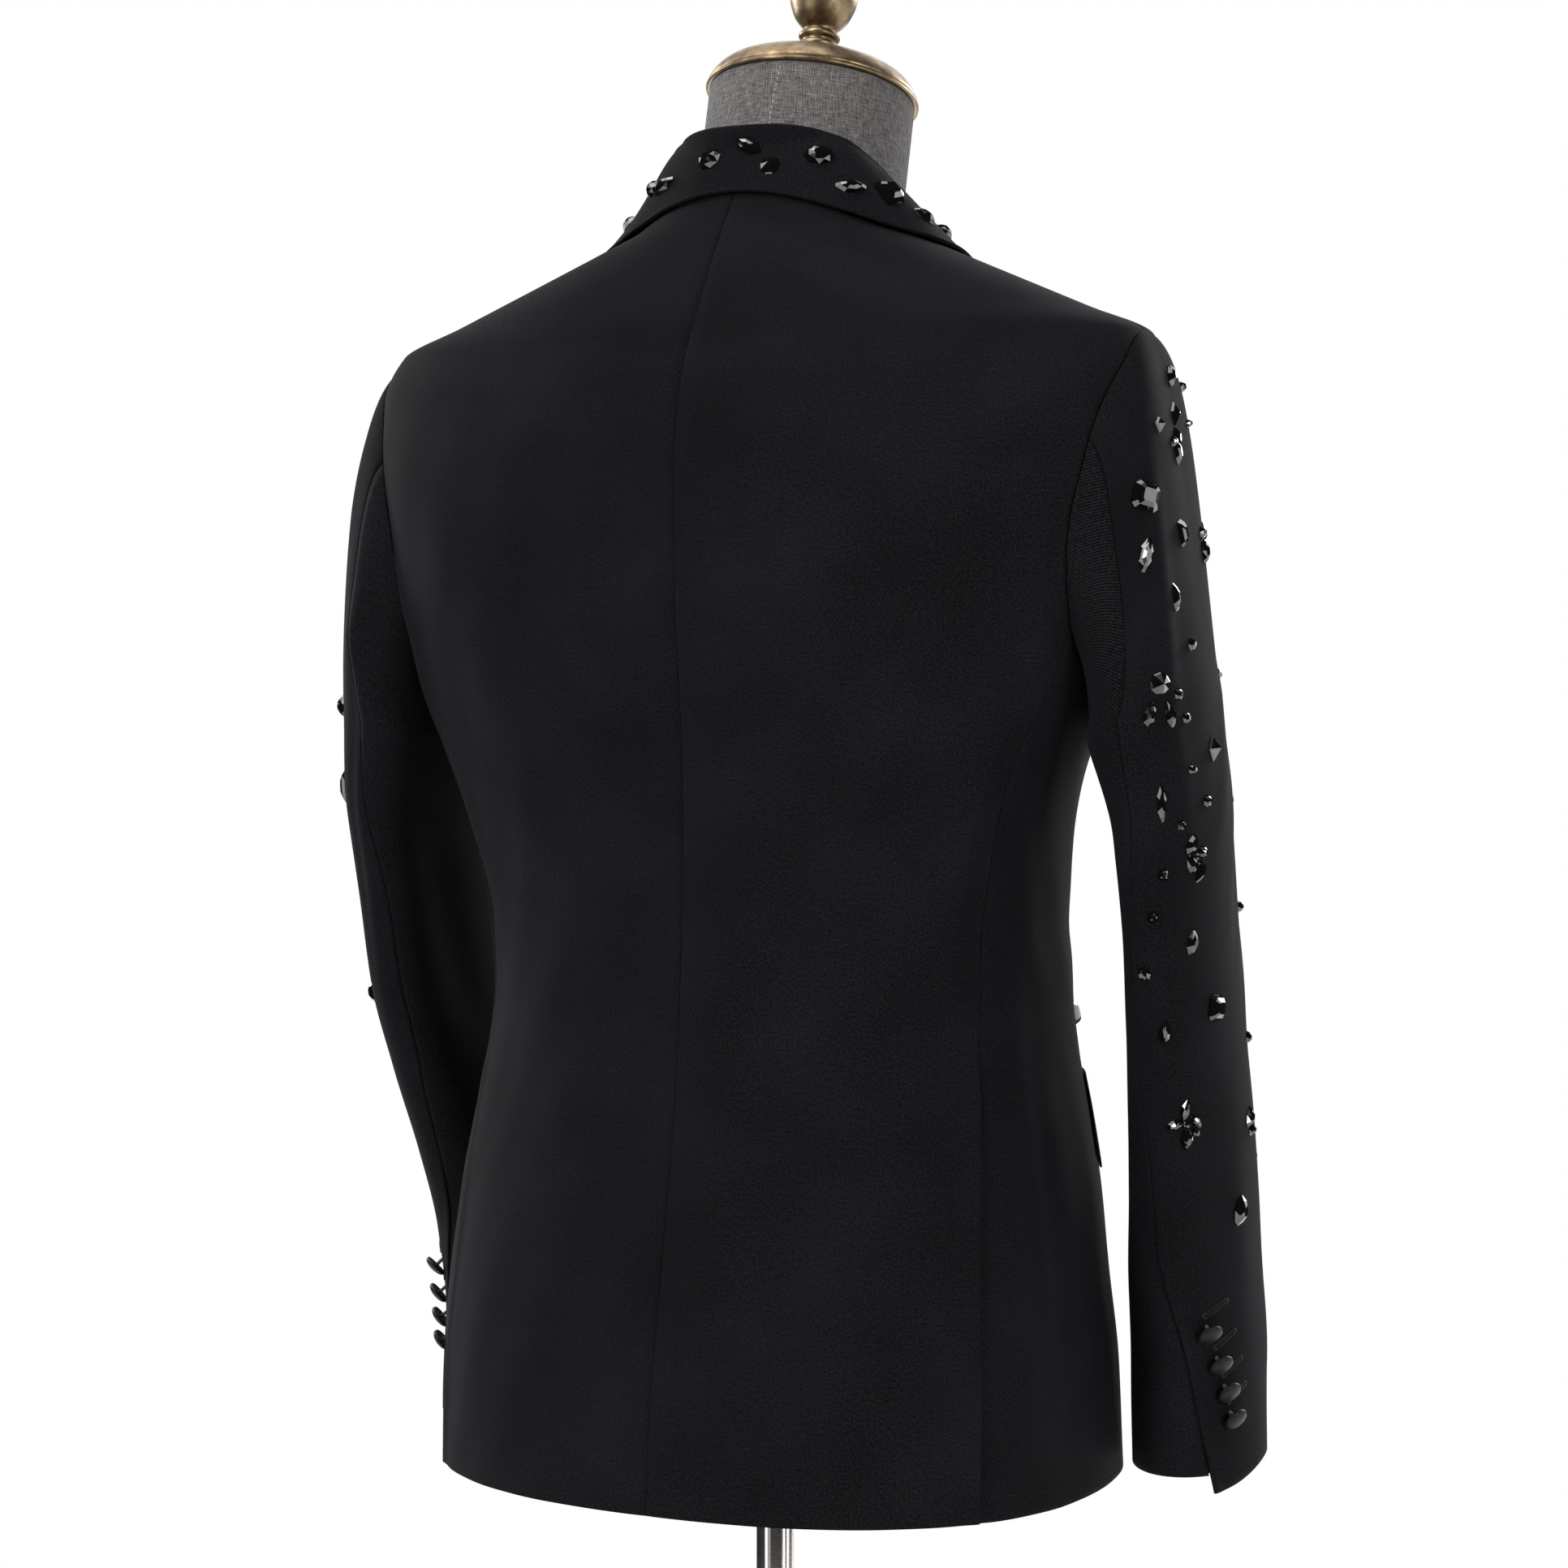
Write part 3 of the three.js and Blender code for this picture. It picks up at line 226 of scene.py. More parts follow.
def makeLinen():
    # Linen and cotton cloth stretched over the form: grey yarns of uneven tone in a plain weave.
    linen = {
        "tones": [(0.43, "#2b2929"), (0.585, "#504d4d"), (0.8, "#9b9895")],
        "yarn": 0.85,  # mm from yarn to yarn
        "slub": 1.2,  # mm, thicker places
        "slubStretch": 0.16,  # which run along their yarn
        "weaveShare": 0.34,
        "bump": {"Strength": 0.5, "Distance": 0.0004},
    }
    material, tree, shader = newMaterial("melangeLinen", {"Roughness": 0.92})
    uv = addNode(tree, "ShaderNodeTexCoord").outputs["UV"]
    long = linen["slubStretch"]
    bands, slubs = [], []
    for direction, stretch in (("X", (long, 1, 1)), ("Y", (1, long, 1))):
        band = addNode(tree, "ShaderNodeTexWave", {"bands_direction": direction},
                       {"Scale": bandScale(linen["yarn"]), "Distortion": 1.4, "Detail": 2.0,
                        "Detail Scale": 1.5},
                       {"Vector": uv})
        along = addNode(tree, "ShaderNodeMapping", inputs={"Scale": stretch}, links={"Vector": uv})
        slub = addNode(tree, "ShaderNodeTexNoise",
                       inputs={"Scale": grainScale(linen["slub"]), "Detail": 3.0, "Roughness": 0.7},
                       links={"Vector": along.outputs["Vector"]})
        bands.append(band.outputs["Fac"])
        slubs.append(slub.outputs["Fac"])
    weave = addNode(tree, "ShaderNodeMath", {"operation": "MULTIPLY"}, links={0: bands[0], 1: bands[1]})
    both = addNode(tree, "ShaderNodeMath", {"operation": "ADD"}, links={0: slubs[0], 1: slubs[1]})
    halved = addNode(tree, "ShaderNodeMath", {"operation": "MULTIPLY"}, {1: 0.5}, {0: both.outputs["Value"]})
    tone = addNode(tree, "ShaderNodeMath", {"operation": "MULTIPLY_ADD"}, {1: linen["weaveShare"]},
                   {0: weave.outputs["Value"], 2: halved.outputs["Value"]})
    colour = addNode(tree, "ShaderNodeValToRGB", links={"Fac": tone.outputs["Value"]})
    setRamp(colour, linen["tones"])
    bump = addNode(tree, "ShaderNodeBump", inputs=linen["bump"], links={"Height": weave.outputs["Value"]})
    linkTo(tree, shader, {"Base Color": colour.outputs["Color"], "Normal": bump.outputs["Normal"]})
    return material


def makeBrass():
    # Spun brass with an antique patina: rubbed golden on the swells, brown-black in the hollows.
    brass = {
        "tones": [(0.3, "#927f64"), (0.56, "#5a4a37"), (1.0, "#1a140e")],  # rubbed, worn, tarnished
        "stain": 9.0,  # mm
        "stainShare": 0.9,
        "roughness": {"To Min": 0.28, "To Max": 0.6},
    }
    material, tree, shader = newMaterial("antiqueBrass", {"Metallic": 1.0})
    place = addNode(tree, "ShaderNodeTexCoord").outputs["Object"]
    hollow = addNode(tree, "ShaderNodeAttribute", {"attribute_name": "hollow"}).outputs["Fac"]
    stain = addNode(tree, "ShaderNodeTexNoise",
                    inputs={"Scale": grainScale(brass["stain"]), "Detail": 5.0, "Roughness": 0.6},
                    links={"Vector": place})
    patina = addNode(tree, "ShaderNodeMath", {"operation": "MULTIPLY_ADD"}, {1: brass["stainShare"]},
                     {0: stain.outputs["Fac"], 2: hollow})
    colour = addNode(tree, "ShaderNodeValToRGB", links={"Fac": patina.outputs["Value"]})
    setRamp(colour, brass["tones"])
    rough = addNode(tree, "ShaderNodeMapRange", inputs=brass["roughness"],
                    links={"Value": patina.outputs["Value"]})
    linkTo(tree, shader, {"Base Color": colour.outputs["Color"], "Roughness": rough.outputs["Result"]})
    return material


def makeChrome():
    # Chrome plate on tube and plate steel: a cold mirror with the faintest haze of polishing.
    chrome = {"colour": "#c4c0bd", "haze": 25.0, "roughness": {"To Min": 0.05, "To Max": 0.16}}
    material, tree, shader = newMaterial("chromePlate", {
        "Base Color": hexColour(chrome["colour"]),
        "Metallic": 1.0,
    })
    place = addNode(tree, "ShaderNodeTexCoord").outputs["Object"]
    haze = addNode(tree, "ShaderNodeTexNoise",
                   inputs={"Scale": grainScale(chrome["haze"]), "Detail": 4.0}, links={"Vector": place})
    rough = addNode(tree, "ShaderNodeMapRange", inputs=chrome["roughness"],
                    links={"Value": haze.outputs["Fac"]})
    linkTo(tree, shader, {"Roughness": rough.outputs["Result"]})
    return material


wool = makeWool()
lining = makeLining()
satin = makeSatin()
blackThread = makeThread("blackSilkTwist", "#101013", 0.45)
paleThread = makeThread("greyPolyesterThread", "#48484c", 0.4)
jet = makeJet()
linen = makeLinen()
brass = makeBrass()
chrome = makeChrome()
print("materials made")

# The garment's own shape: every surface below is worked out from these tables, in millimetres.

jacket = {
    "cloth": 2.0,  # wall of cloth, interlining and lining together
    "seam": 0.08,
    "seamRadius": 190.0,  # where a seam's width is read as an angle
    "arc": 3.0,  # mm to a degree round the body
    "creaseArc": 3.3,
    "foldOver": 2.9,  # height of a piece that lies on a panel
    "hem": 721.0,
    "shoulder": 1345.0,
    "neckPoint": 1409.0,
    "neckPointX": 75.0,
    "backNeck": 1437.0,
    "roundness": 2.3,
    "armholeTop": 1344.0,
    "armholeBottom": 1160.0,
    "shoulderAngle": 90.0,
    "armholeMiddle": 91.0,
    "armholeBackHalf": 29.0,
    "armholeFrontHalf": 31.0,
    "sideSeamTop": 1190.0,
    "overlap": 75.0,
    "lapLift": 3.4,
    "breakHeight": 1040.0,
    "rollCrossing": 1237.0,
    "gorge": (39.0, 1340.0),
    "notch": (92.0, 1300.0),
    "peak": (130.0, 1316.0),
}
armholeCentre = (jacket["armholeTop"] + jacket["armholeBottom"]) / 2
armholeRise = jacket["armholeTop"] - armholeCentre

bodyRings = {  # outside of the jacket by height: half width, place of the widest point, back and front
    "z": [718, 780, 830, 880, 920, 955, 990, 1020, 1050, 1085, 1120, 1160, 1200, 1240, 1280, 1320, 1345, 1360,
          1380, 1400, 1409, 1427, 1440],
    "half": [191, 190, 186, 181, 175, 169, 166, 166, 169, 176, 187, 205, 218, 230, 237, 236, 225, 190,
             143, 96, 75, 58, 50],
    "wide": [-4, 0, 3, 0, -1, -2, -3, 5, 11, 24, 32, 27, 25, 25, 20, 17, 15, 12, 9, 6, 5, 0, -3],
    "back": [151, 145, 136, 127, 120, 115, 112, 111, 111, 110, 110, 113, 117, 118, 118, 111, 100, 92,
             80, 67, 61, 48, 41],
    "front": [-182, -175, -167, -159, -152, -146, -139, -134, -131, -130, -129, -130, -132, -128, -120, -104,
              -90, -80, -64, -45, -35, -25, -20],
}
sleeveRings = {  # sections of a sleeve below the armhole, the outside higher by the rise
    "z": [729, 780, 830, 880, 930, 980, 1030, 1080, 1140],
    "x": [220, 219, 220, 225, 231, 235, 236, 236, 227],
    "y": [-91, -91, -82, -66, -47, -29, -19, -9, 1],
    "half": [35, 35, 34, 32, 30, 27, 26, 27, 31.5],
    "depth": [64, 64, 63, 62, 62, 63, 64, 66, 68.5],
    "rise": [0, 0, 0, 0, 0, 0, 0, 4, 12],
}
seams = {  # seam lines as angles from the centre back, and round the sleeve from its outside
    "sideBack": ([718, 793, 876, 959, 1040, 1190], [57, 57.5, 58.5, 62, 65, 70]),
    "sideFront": ([718, 1000, 1190], [119, 115, 112]),
    "hindArm": ([0, 0.6, 0.9, 1.1, 1.3, 1.42, 1.55, 1.7, 1.82, 2],
                [75, 82, 88, 102, 115, 115, 106, 96, 78, 57]),
}


def curveThrough(places, values):
    x, y = np.asarray(places, float), np.asarray(values, float)
    steps = np.diff(x)
    slopes = np.diff(y) / steps
    tangents = np.concatenate([slopes[:1], np.zeros(len(x) - 2), slopes[-1:]])
    before, after = 2 * steps[1:] + steps[:-1], steps[1:] + 2 * steps[:-1]
    for i in range(len(x) - 2):
        if slopes[i] * slopes[i + 1] > 0:  # monotone, so that no curve overshoots its rows
            tangents[i + 1] = (before[i] + after[i]) / (before[i] / slopes[i] + after[i] / slopes[i + 1])

    def read(where):
        at = np.clip(where, x[0], x[-1])
        i = np.clip(np.searchsorted(x, at, side="right") - 1, 0, len(steps) - 1)
        t = (at - x[i]) / steps[i]
        ease = 3 * t**2 - 2 * t**3
        bend = (t**3 - 2 * t**2 + t) * tangents[i] + (t**3 - t**2) * tangents[i + 1]
        return y[i] * (1 - ease) + y[i + 1] * ease + bend * steps[i]

    return read


bodyRing = {name: curveThrough(bodyRings["z"], bodyRings[name]) for name in bodyRings}
sleeveRing = {name: curveThrough(sleeveRings["z"], sleeveRings[name]) for name in sleeveRings}
sideBackAngle, sideFrontAngle, hindAngle = (curveThrough(*seams[name]) for name in seams)


def smooth(value, low, high):
    t = np.clip((np.asarray(value, float) - low) / (high - low), 0, 1)
    return t * t * (3 - 2 * t)


def mix(a, b, share):
    return a + (b - a) * share


def between(value, rise, fall):
    # 1 from the end of the rise to the start of the fall, and 0 outside them.
    return smooth(value, *rise) * (1 - smooth(value, *fall))


def signedPower(value, power):
    return np.sign(value) * np.abs(value) ** power


def unit(vectors):
    return vectors / np.maximum(np.linalg.norm(vectors, axis=-1, keepdims=True), 1e-9)


def swell(distance, width):
    return np.exp(-((distance / width) ** 2))


def paired(a, b):
    return np.broadcast_arrays(np.asarray(a, float), np.asarray(b, float))


def bodyPoint(angle, z):
    # The angle runs from the centre back over the left side to the front.
    angle, z = paired(angle, z)
    sine, cosine = np.sin(np.radians(angle)), np.cos(np.radians(angle))
    wide = bodyRing["wide"](z)
    depth = np.where(cosine > 0, bodyRing["back"](z) - wide, wide - bodyRing["front"](z))
    power = 2 / jacket["roundness"]
    aside = bodyRing["half"](z) * signedPower(sine, power)
    return np.stack([aside, wide + depth * signedPower(cosine, power), z], -1)


def bodyNormal(angle, z, step=0.4):
    angle, z = paired(angle, z)
    across = bodyPoint(angle + step, z) - bodyPoint(angle - step, z)
    up = bodyPoint(angle, z + step) - bodyPoint(angle, z - step)
    return unit(np.cross(up, across))


bodyCreases = [  # soft folds: from angle and height on the body to angle and height, width, rise in mm
    ((74, 1185), (52, 1030), 17, 2.2),  # from the armpit down the back
    ((66, 1150), (60, 960), 11, -1.8),
    ((38, 1190), (30, 1050), 26, 1.6),  # shoulder blade
    ((2, 1130), (2, 1000), 34, -1.6),  # hollow of the back
    ((16, 985), (58, 1002), 13, 1.5),  # cross folds at the waist
    ((22, 1015), (66, 1040), 10, -1.2),
    ((66, 925), (72, 745), 12, 2.4),  # drape of the side panel
    ((80, 960), (84, 735), 13, -2.2),
    ((96, 900), (98, 735), 15, 2.0),
    ((36, 900), (40, 735), 26, 1.8),  # skirt of the back
    ((12, 890), (10, 735), 24, -1.6),
    ((112, 1010), (160, 1000), 12, 1.4),  # pull of the waist button
    ((118, 1035), (162, 1012), 10, -1.1),
    ((120, 985), (165, 1003), 9, -1.0),
    ((108, 1180), (128, 1090), 16, 1.8),  # from the armpit down the front
    ((118, 1150), (132, 1040), 14, -1.4),
    ((70, 1262), (60, 1120), 14, 1.6),  # ease beside the armhole
]


def creaseHeight(across, along):
    arc = jacket["creaseArc"]
    total = np.zeros(np.broadcast(across, along).shape)
    for start, end, width, rise in bodyCreases:
        run = np.subtract(end, start) * (arc, 1)
        dx, dy = (across - start[0]) * arc, along - start[1]
        share = (dx * run[0] + dy * run[1]) / (run @ run)
        aside = np.abs(dx * run[1] - dy * run[0]) / math.sqrt(run @ run)
        total = total + rise * between(share, (-0.15, 0.3), (0.6, 1.15)) * swell(aside, width)
    return total


def bodyDrape(angle, z):
    ripple = {"height": 0.35, "round": 0.31, "roundRise": 0.011, "up": 0.043, "upTurn": 0.12}
    stretched = (1290, 1350)  # the cloth lies smooth over the shoulders
    folded = np.where(angle > 180, 360 - angle, angle)
    waves = np.sin(angle * ripple["round"] + z * ripple["roundRise"])
    waves = waves * np.sin(z * ripple["up"] + angle * ripple["upTurn"])
    return (creaseHeight(folded, z) + ripple["height"] * waves) * (1 - smooth(z, *stretched))


def raisedBody(angle, z, height=0.0):
    return bodyPoint(angle, z) + bodyNormal(angle, z) * np.asarray(height + bodyDrape(angle, z))[..., None]


def frontAngle(x, z):
    share = np.clip(np.abs(x) / bodyRing["half"](z), 0, 1)
    return 180 - np.sign(x) * np.degrees(np.arcsin(share ** (jacket["roundness"] / 2)))


def armholeAngle(z, half):
    share = np.clip((z - armholeCentre) / armholeRise, -1, 1)
    return half * np.sqrt(1 - share * share)


def armholeFloor(angle):
    half = np.where(angle < jacket["armholeMiddle"], jacket["armholeBackHalf"], jacket["armholeFrontHalf"])
    share = np.clip((angle - jacket["armholeMiddle"]) / half, -1, 1)
    return armholeCentre - armholeRise * np.sqrt(1 - share * share)


sideTop = [float(seam(jacket["sideSeamTop"])) for seam in (sideBackAngle, sideFrontAngle)]
backCorner, frontCorner = (float(armholeFloor(angle)) for angle in sideTop)
halfSeam = math.degrees(jacket["seam"] / 2 / jacket["seamRadius"])


def rowHeights(corner, spacing=3.0, closeSpacing=1.2, close=12.5):
    # Rows close enough for soft folds, with one at each place where the outline turns.
    turns = [jacket["hem"], corner - 8, corner, corner + 12, 1300, 1330, 1340, jacket["armholeTop"],
             jacket["shoulder"] + 1, 1352, 1380, jacket["neckPoint"]]
    heights = [turns[0]]
    for low, high in zip(turns[:-1], turns[1:]):
        pace = spacing if high - low > close else closeSpacing
        count = max(1, math.ceil((high - low) / pace))
        heights += list(np.linspace(low, high, count + 1)[1:])
    return np.array(heights)


def evenly(count):
    return np.linspace(0, 1, count + 1)


def neckSeam(angle):
    rise = np.maximum(np.cos(np.radians(np.minimum(angle, 90))), 0) ** 1.5
    return jacket["neckPoint"] + (jacket["backNeck"] - jacket["neckPoint"]) * rise


def outerEdge(z, sideSeam, corner, half, towards):
    # A panel's edge up the side seam, the armhole and the shoulder, for a front (1) or a back (-1).
    armhole = jacket["armholeMiddle"] + towards * (armholeAngle(z, half) + 2 * halfSeam)
    over = np.where(z > jacket["armholeTop"], jacket["shoulderAngle"] + towards * halfSeam, armhole)
    return np.where(z < corner, sideSeam(z) + towards * halfSeam, over)


sideVent = {  # the back's edge lies over the side panel's
    "open": 935,
    "shut": 965,
    "lift": 1.5,
    "liftWidth": 5,
    "drop": 1.5,
    "dropWidth": 9,
    "under": 1.3,  # degrees that the side panel reaches under the back, in full from here down
    "underOpen": 905,
}


def ventOpen(z):
    return 1 - smooth(z, sideVent["open"], sideVent["shut"])


def backGrid(columns=72):
    centreSeam = {"depth": 0.5, "width": 1.2}
    z = rowHeights(backCorner)[:, None]
    inner = 180 - frontAngle(jacket["seam"] / 2, z)
    outer = outerEdge(z, sideBackAngle, backCorner, jacket["armholeBackHalf"], -1)
    angle = mix(inner, outer, evenly(columns)[None, :])
    climb = np.clip((z - jacket["shoulder"]) / (jacket["neckPoint"] - jacket["shoulder"]), 0, 1)
    high = mix(jacket["shoulder"], neckSeam(angle) - jacket["seam"], climb)
    z = np.where(z <= jacket["shoulder"], z + 0 * angle, high)
    fromSide, fromCentre = (outer - angle) * jacket["arc"], (angle - inner) * jacket["arc"]
    vent = sideVent["lift"] * ventOpen(z) * swell(fromSide, sideVent["liftWidth"] * math.sqrt(2))
    return raisedBody(angle, z, vent - centreSeam["depth"] * swell(fromCentre, centreSeam["width"]))


def sideGrid(columns=30, rows=150, clearance=0.4):
    share = evenly(columns)[None, :]
    top = armholeFloor(mix(*sideTop, share)) - clearance
    z = mix(jacket["hem"], top, evenly(rows)[:, None])
    back, front = sideBackAngle(z) + halfSeam, sideFrontAngle(z) - halfSeam
    back = back - sideVent["under"] * (1 - smooth(z, sideVent["underOpen"], sideVent["open"]))
    angle = mix(back, front, share)
    drop = sideVent["drop"] * ventOpen(z) * swell((angle - back) * jacket["arc"], sideVent["dropWidth"])
    return raisedBody(angle, z, -drop)


def frontEdge(z):
    gorgeX, gorgeZ = jacket["gorge"]
    rolled = mix(-jacket["overlap"], gorgeX, (z - jacket["breakHeight"]) / (gorgeZ - jacket["breakHeight"]))
    neck = mix(gorgeX, jacket["neckPointX"], (z - gorgeZ) / (jacket["neckPoint"] - gorgeZ))
    return np.where(z <= jacket["breakHeight"], -jacket["overlap"], np.where(z <= gorgeZ, rolled, neck))


def lapHeight(x, z):
    # The left front lies over the right one up to its edge, and sinks back to the body beyond it.
    aside, above = jacket["overlap"] + 3, jacket["rollCrossing"]
    return jacket["lapLift"] * (1 - smooth(x, aside, aside + 30)) * (1 - smooth(z, above, above + 50))


def frontGrid(lapped, columns=84):
    dart = {"x": 92, "from": (930, 960), "to": (1120, 1150), "depth": 0.6, "width": 1.4}
    tuck = {"depth": 1.6, "run": 20}  # the edge lies under the rolled lapel
    z = np.minimum(rowHeights(frontCorner), jacket["neckPoint"] - 4)[:, None]
    outer = outerEdge(z, sideFrontAngle, frontCorner, jacket["armholeFrontHalf"], 1)
    low, high = jacket["breakHeight"] - tuck["run"], jacket["breakHeight"] + tuck["run"]
    inner = frontAngle(frontEdge(z) + tuck["depth"] * smooth(z, low, high), z)
    angle = mix(outer, inner, evenly(columns)[None, :])
    x = bodyPoint(angle, z)[..., 0]
    pinch = dart["depth"] * between(z, dart["from"], dart["to"]) * swell(x - dart["x"], dart["width"])
    return raisedBody(angle, z, (lapHeight(x, z) if lapped else 0) - pinch)


def frontPoint(x, z, height, lapped):
    return raisedBody(frontAngle(x, z), z, height + (lapHeight(x, z) if lapped else 0))


lapel = {
    "rightStart": 0.45,  # the share below which the left front covers the right lapel
    "rightFree": (0.62, 0.68),
    "rollGap": 0.5,  # from the front's edge
    "notchTurn": 6,  # how sharply the top edge drops to the notch
    "crown": 1.6,  # it rolls, it isn't pressed flat
    "rollRadius": 1.5,  # the cloth turns over at the roll line
    "coveredRadius": 0.25,
    "rollSteps": 5,
}
peakReach = jacket["peak"][0] - float(frontEdge(jacket["peak"][1]))
lapelWidth = curveThrough([0, 0.25, 0.5, 0.75, 1], [6, 38, 72, 94, peakReach])
notchShare = (jacket["notch"][0] - jacket["gorge"][0]) / (jacket["peak"][0] - jacket["gorge"][0])


def lapelPoint(across, share, lapped):
    gorgeZ, peakZ = jacket["gorge"][1], jacket["peak"][1]
    rollZ = mix(jacket["breakHeight"], gorgeZ, share)
    rollX = frontEdge(rollZ) + lapel["rollGap"]
    if not lapped:
        rollX = np.maximum(rollX, 2 * lapel["rollGap"] - frontEdge(rollZ))
    edgeZ = mix(jacket["breakHeight"], peakZ, share)
    edgeX = frontEdge(edgeZ) + lapelWidth(share)
    sag = mix(gorgeZ, peakZ, notchShare) - jacket["notch"][1]
    toNotch = np.minimum(across / notchShare, (1 - across) / (1 - notchShare))
    dip = sag * np.clip(toNotch, 0, 1) * share ** lapel["notchTurn"]
    crown = lapel["crown"] * np.sin(np.pi * np.clip(across, 0, 1)) * share
    x, z = mix(rollX, edgeX, across), mix(rollZ, edgeZ, across) - dip
    return frontPoint(x, z, jacket["foldOver"] + crown, lapped)


def lapelGrid(lapped):
    across = np.concatenate([evenly(18)[:-1] * notchShare, mix(notchShare, 1, evenly(12))])[None, ::-1]
    share = mix(0.0 if lapped else lapel["rightStart"], 1, evenly(100))[:, None]
    flat = lapelPoint(across, share, lapped)
    normals = gridNormals(flat)[:, -1:]
    outwards = unit(flat[:, -1:] - flat[:, -2:-1])
    turns = np.radians(np.linspace(15, 90, lapel["rollSteps"]))[None, :, None]
    free = 1.0 if lapped else smooth(share, *lapel["rightFree"])[..., None]
    radius = mix(lapel["coveredRadius"], lapel["rollRadius"], free)
    centre = flat[:, -1:] - normals * radius
    rolled = centre + radius * (outwards * np.sin(turns) + normals * np.cos(turns))
    return np.concatenate([flat, rolled], axis=1)


pocketFlap = {
    "top": 942,
    "height": 54,
    "back": 109,  # degrees from the centre back
    "front": 150,
    "corner": 9,
    "lift": 1.6,
    "belly": 0.4,
    "cloth": 1.3,
}


def flapGrid(lapped, columns=44, rows=20):
    share, v = evenly(columns)[None, :], evenly(rows)[:, None]
    drop = pocketFlap["corner"] * smooth(np.abs(share - 0.5), 0.38, 0.5)
    z = mix(pocketFlap["top"] - pocketFlap["height"] + drop, pocketFlap["top"], v)
    angle = mix(pocketFlap["back"], pocketFlap["front"], share) + 0 * z
    lift = lapHeight(bodyPoint(angle, z)[..., 0], z) if lapped else 0
    belly = pocketFlap["belly"] * np.sin(np.pi * v) * np.sin(np.pi * share)
    return raisedBody(angle, z, pocketFlap["lift"] + belly + lift)


print("body surfaces ready")

# Collar: stations from the centre back to the notch. Roll is where stand and leaf fold.
collarStations = [
    {"edge": {"angle": 0, "z": 1425}, "roll": (0, 37, 1462), "foot": {"angle": 0}},
    {"edge": {"angle": 23, "z": 1422}, "roll": (29, 33, 1461), "foot": {"angle": 28}},
    {"edge": {"angle": 56, "z": 1412}, "roll": (53, 20, 1455), "foot": {"angle": 55}},
    {"edge": {"angle": 73, "z": 1403}, "roll": (62, 5, 1446), "foot": {"angle": 75}},
    {"edge": {"angle": 88, "z": 1397}, "roll": (66, -14, 1436.5), "foot": {"angle": 89}},
    {"edge": {"x": 108, "z": 1384}, "roll": (66, -34, 1422.5), "foot": {"x": 72.6, "z": 1404.5}},
    {"edge": {"x": 110, "z": 1363}, "roll": (64, -51, 1406), "foot": {"x": 67, "z": 1393.7}},
    {"edge": {"x": 108, "z": 1342}, "roll": (57, -64, 1383)},
    {"edge": {"x": 104, "z": 1322}, "roll": (49, -81, 1362)},
    {"edge": {"x": 92.5, "z": 1301.8}, "roll": (39.6, -95, 1341.2)},
]
collar = {
    "standReach": 6,  # stations from the centre back
    "standDrop": 3.0,
    "standInset": 1.8,
    "footInset": 1.3,
    "rollDrop": 0.4,
    "rollRadius": 2.0,
    "bulge": 4.6,
    "rollBulge": 2.0,
    "rise": 3.0,
    "neckAxis": 20.0,  # how far in front of the middle the neck's axis passes
}


def throughPoints(points, share):
    # A centripetal Catmull-Rom curve through the points, read at an array of shares.
    points = np.asarray(points, float)
    points = np.vstack([2 * points[0] - points[1], points, 2 * points[-1] - points[-2]])
    at = np.clip(share, 0, 1) * (len(points) - 3)
    i = np.minimum(at.astype(int), len(points) - 4)
    t = (at - i)[..., None]
    p0, p1, p2, p3 = (points[i + k] for k in range(4))
    d0, d1, d2 = (np.sqrt(np.linalg.norm(b - a, axis=-1, keepdims=True))
                  for a, b in ((p0, p1), (p1, p2), (p2, p3)))
    t1 = ((p1 - p0) / d0 - (p2 - p0) / (d0 + d1) + (p2 - p1) / d1) * d1
    t2 = ((p2 - p1) / d1 - (p3 - p1) / (d1 + d2) + (p3 - p2) / d2) * d1
    return p1 + t1 * t + (3 * (p2 - p1) - 2 * t1 - t2) * t**2 + (2 * (p1 - p2) + t1 + t2) * t**3


def bothSides(points):
    points = np.asarray(points, float)
    return np.vstack([points[:0:-1] * (-1, 1, 1), points])


def clearOfBody(points, height):
    # Moves points that are nearer to the body than a height out to that height.
    x, y, z = np.moveaxis(points, -1, 0)
    half, wide = bodyRing["half"](z), bodyRing["wide"](z)
    depth = np.where(y > wide, bodyRing["back"](z) - wide, wide - bodyRing["front"](z))
    power = jacket["roundness"] / 2
    angle = np.degrees(np.arctan2(np.abs(x / half) ** power, signedPower((y - wide) / depth, power)))
    mirror = np.stack([np.where(x < 0, -1.0, 1.0), np.ones_like(x), np.ones_like(x)], -1)
    skin, normal = bodyPoint(angle, z) * mirror, bodyNormal(angle, z) * mirror
    gap = ((points - skin) * normal).sum(-1)
    return points + normal * np.maximum(height - gap, 0)[..., None]


def edgeOf(edge, height):
    if "x" in edge:
        return frontPoint(edge["x"], edge["z"], height, False)
    return raisedBody(edge["angle"], edge["z"], height)


def awayFromNeck(points):
    return unit(points * (1, 1, 0) + (0, collar["neckAxis"], 0))


leafEdges = bothSides([edgeOf(s["edge"], jacket["foldOver"]) for s in collarStations])
leafRolls = bothSides([s["roll"] for s in collarStations])


def leafPoint(u, up):
    # u runs from the right notch over the centre back to the left one, up from the edge to the roll.
    u, up = np.broadcast_arrays(u, up)
    edge, roll = throughPoints(leafEdges, u), throughPoints(leafRolls, u)
    roll[..., 2] -= collar["rollDrop"]
    bulge = collar["bulge"] * up * (1 - up) + collar["rollBulge"] * (1 - up**8) * up
    points = mix(edge, roll, up[..., None]) + awayFromNeck(roll) * bulge[..., None]
    points[..., 2] += collar["rise"] * up * up * (1 - up)
    return clearOfBody(points, jacket["foldOver"] + 0.5)


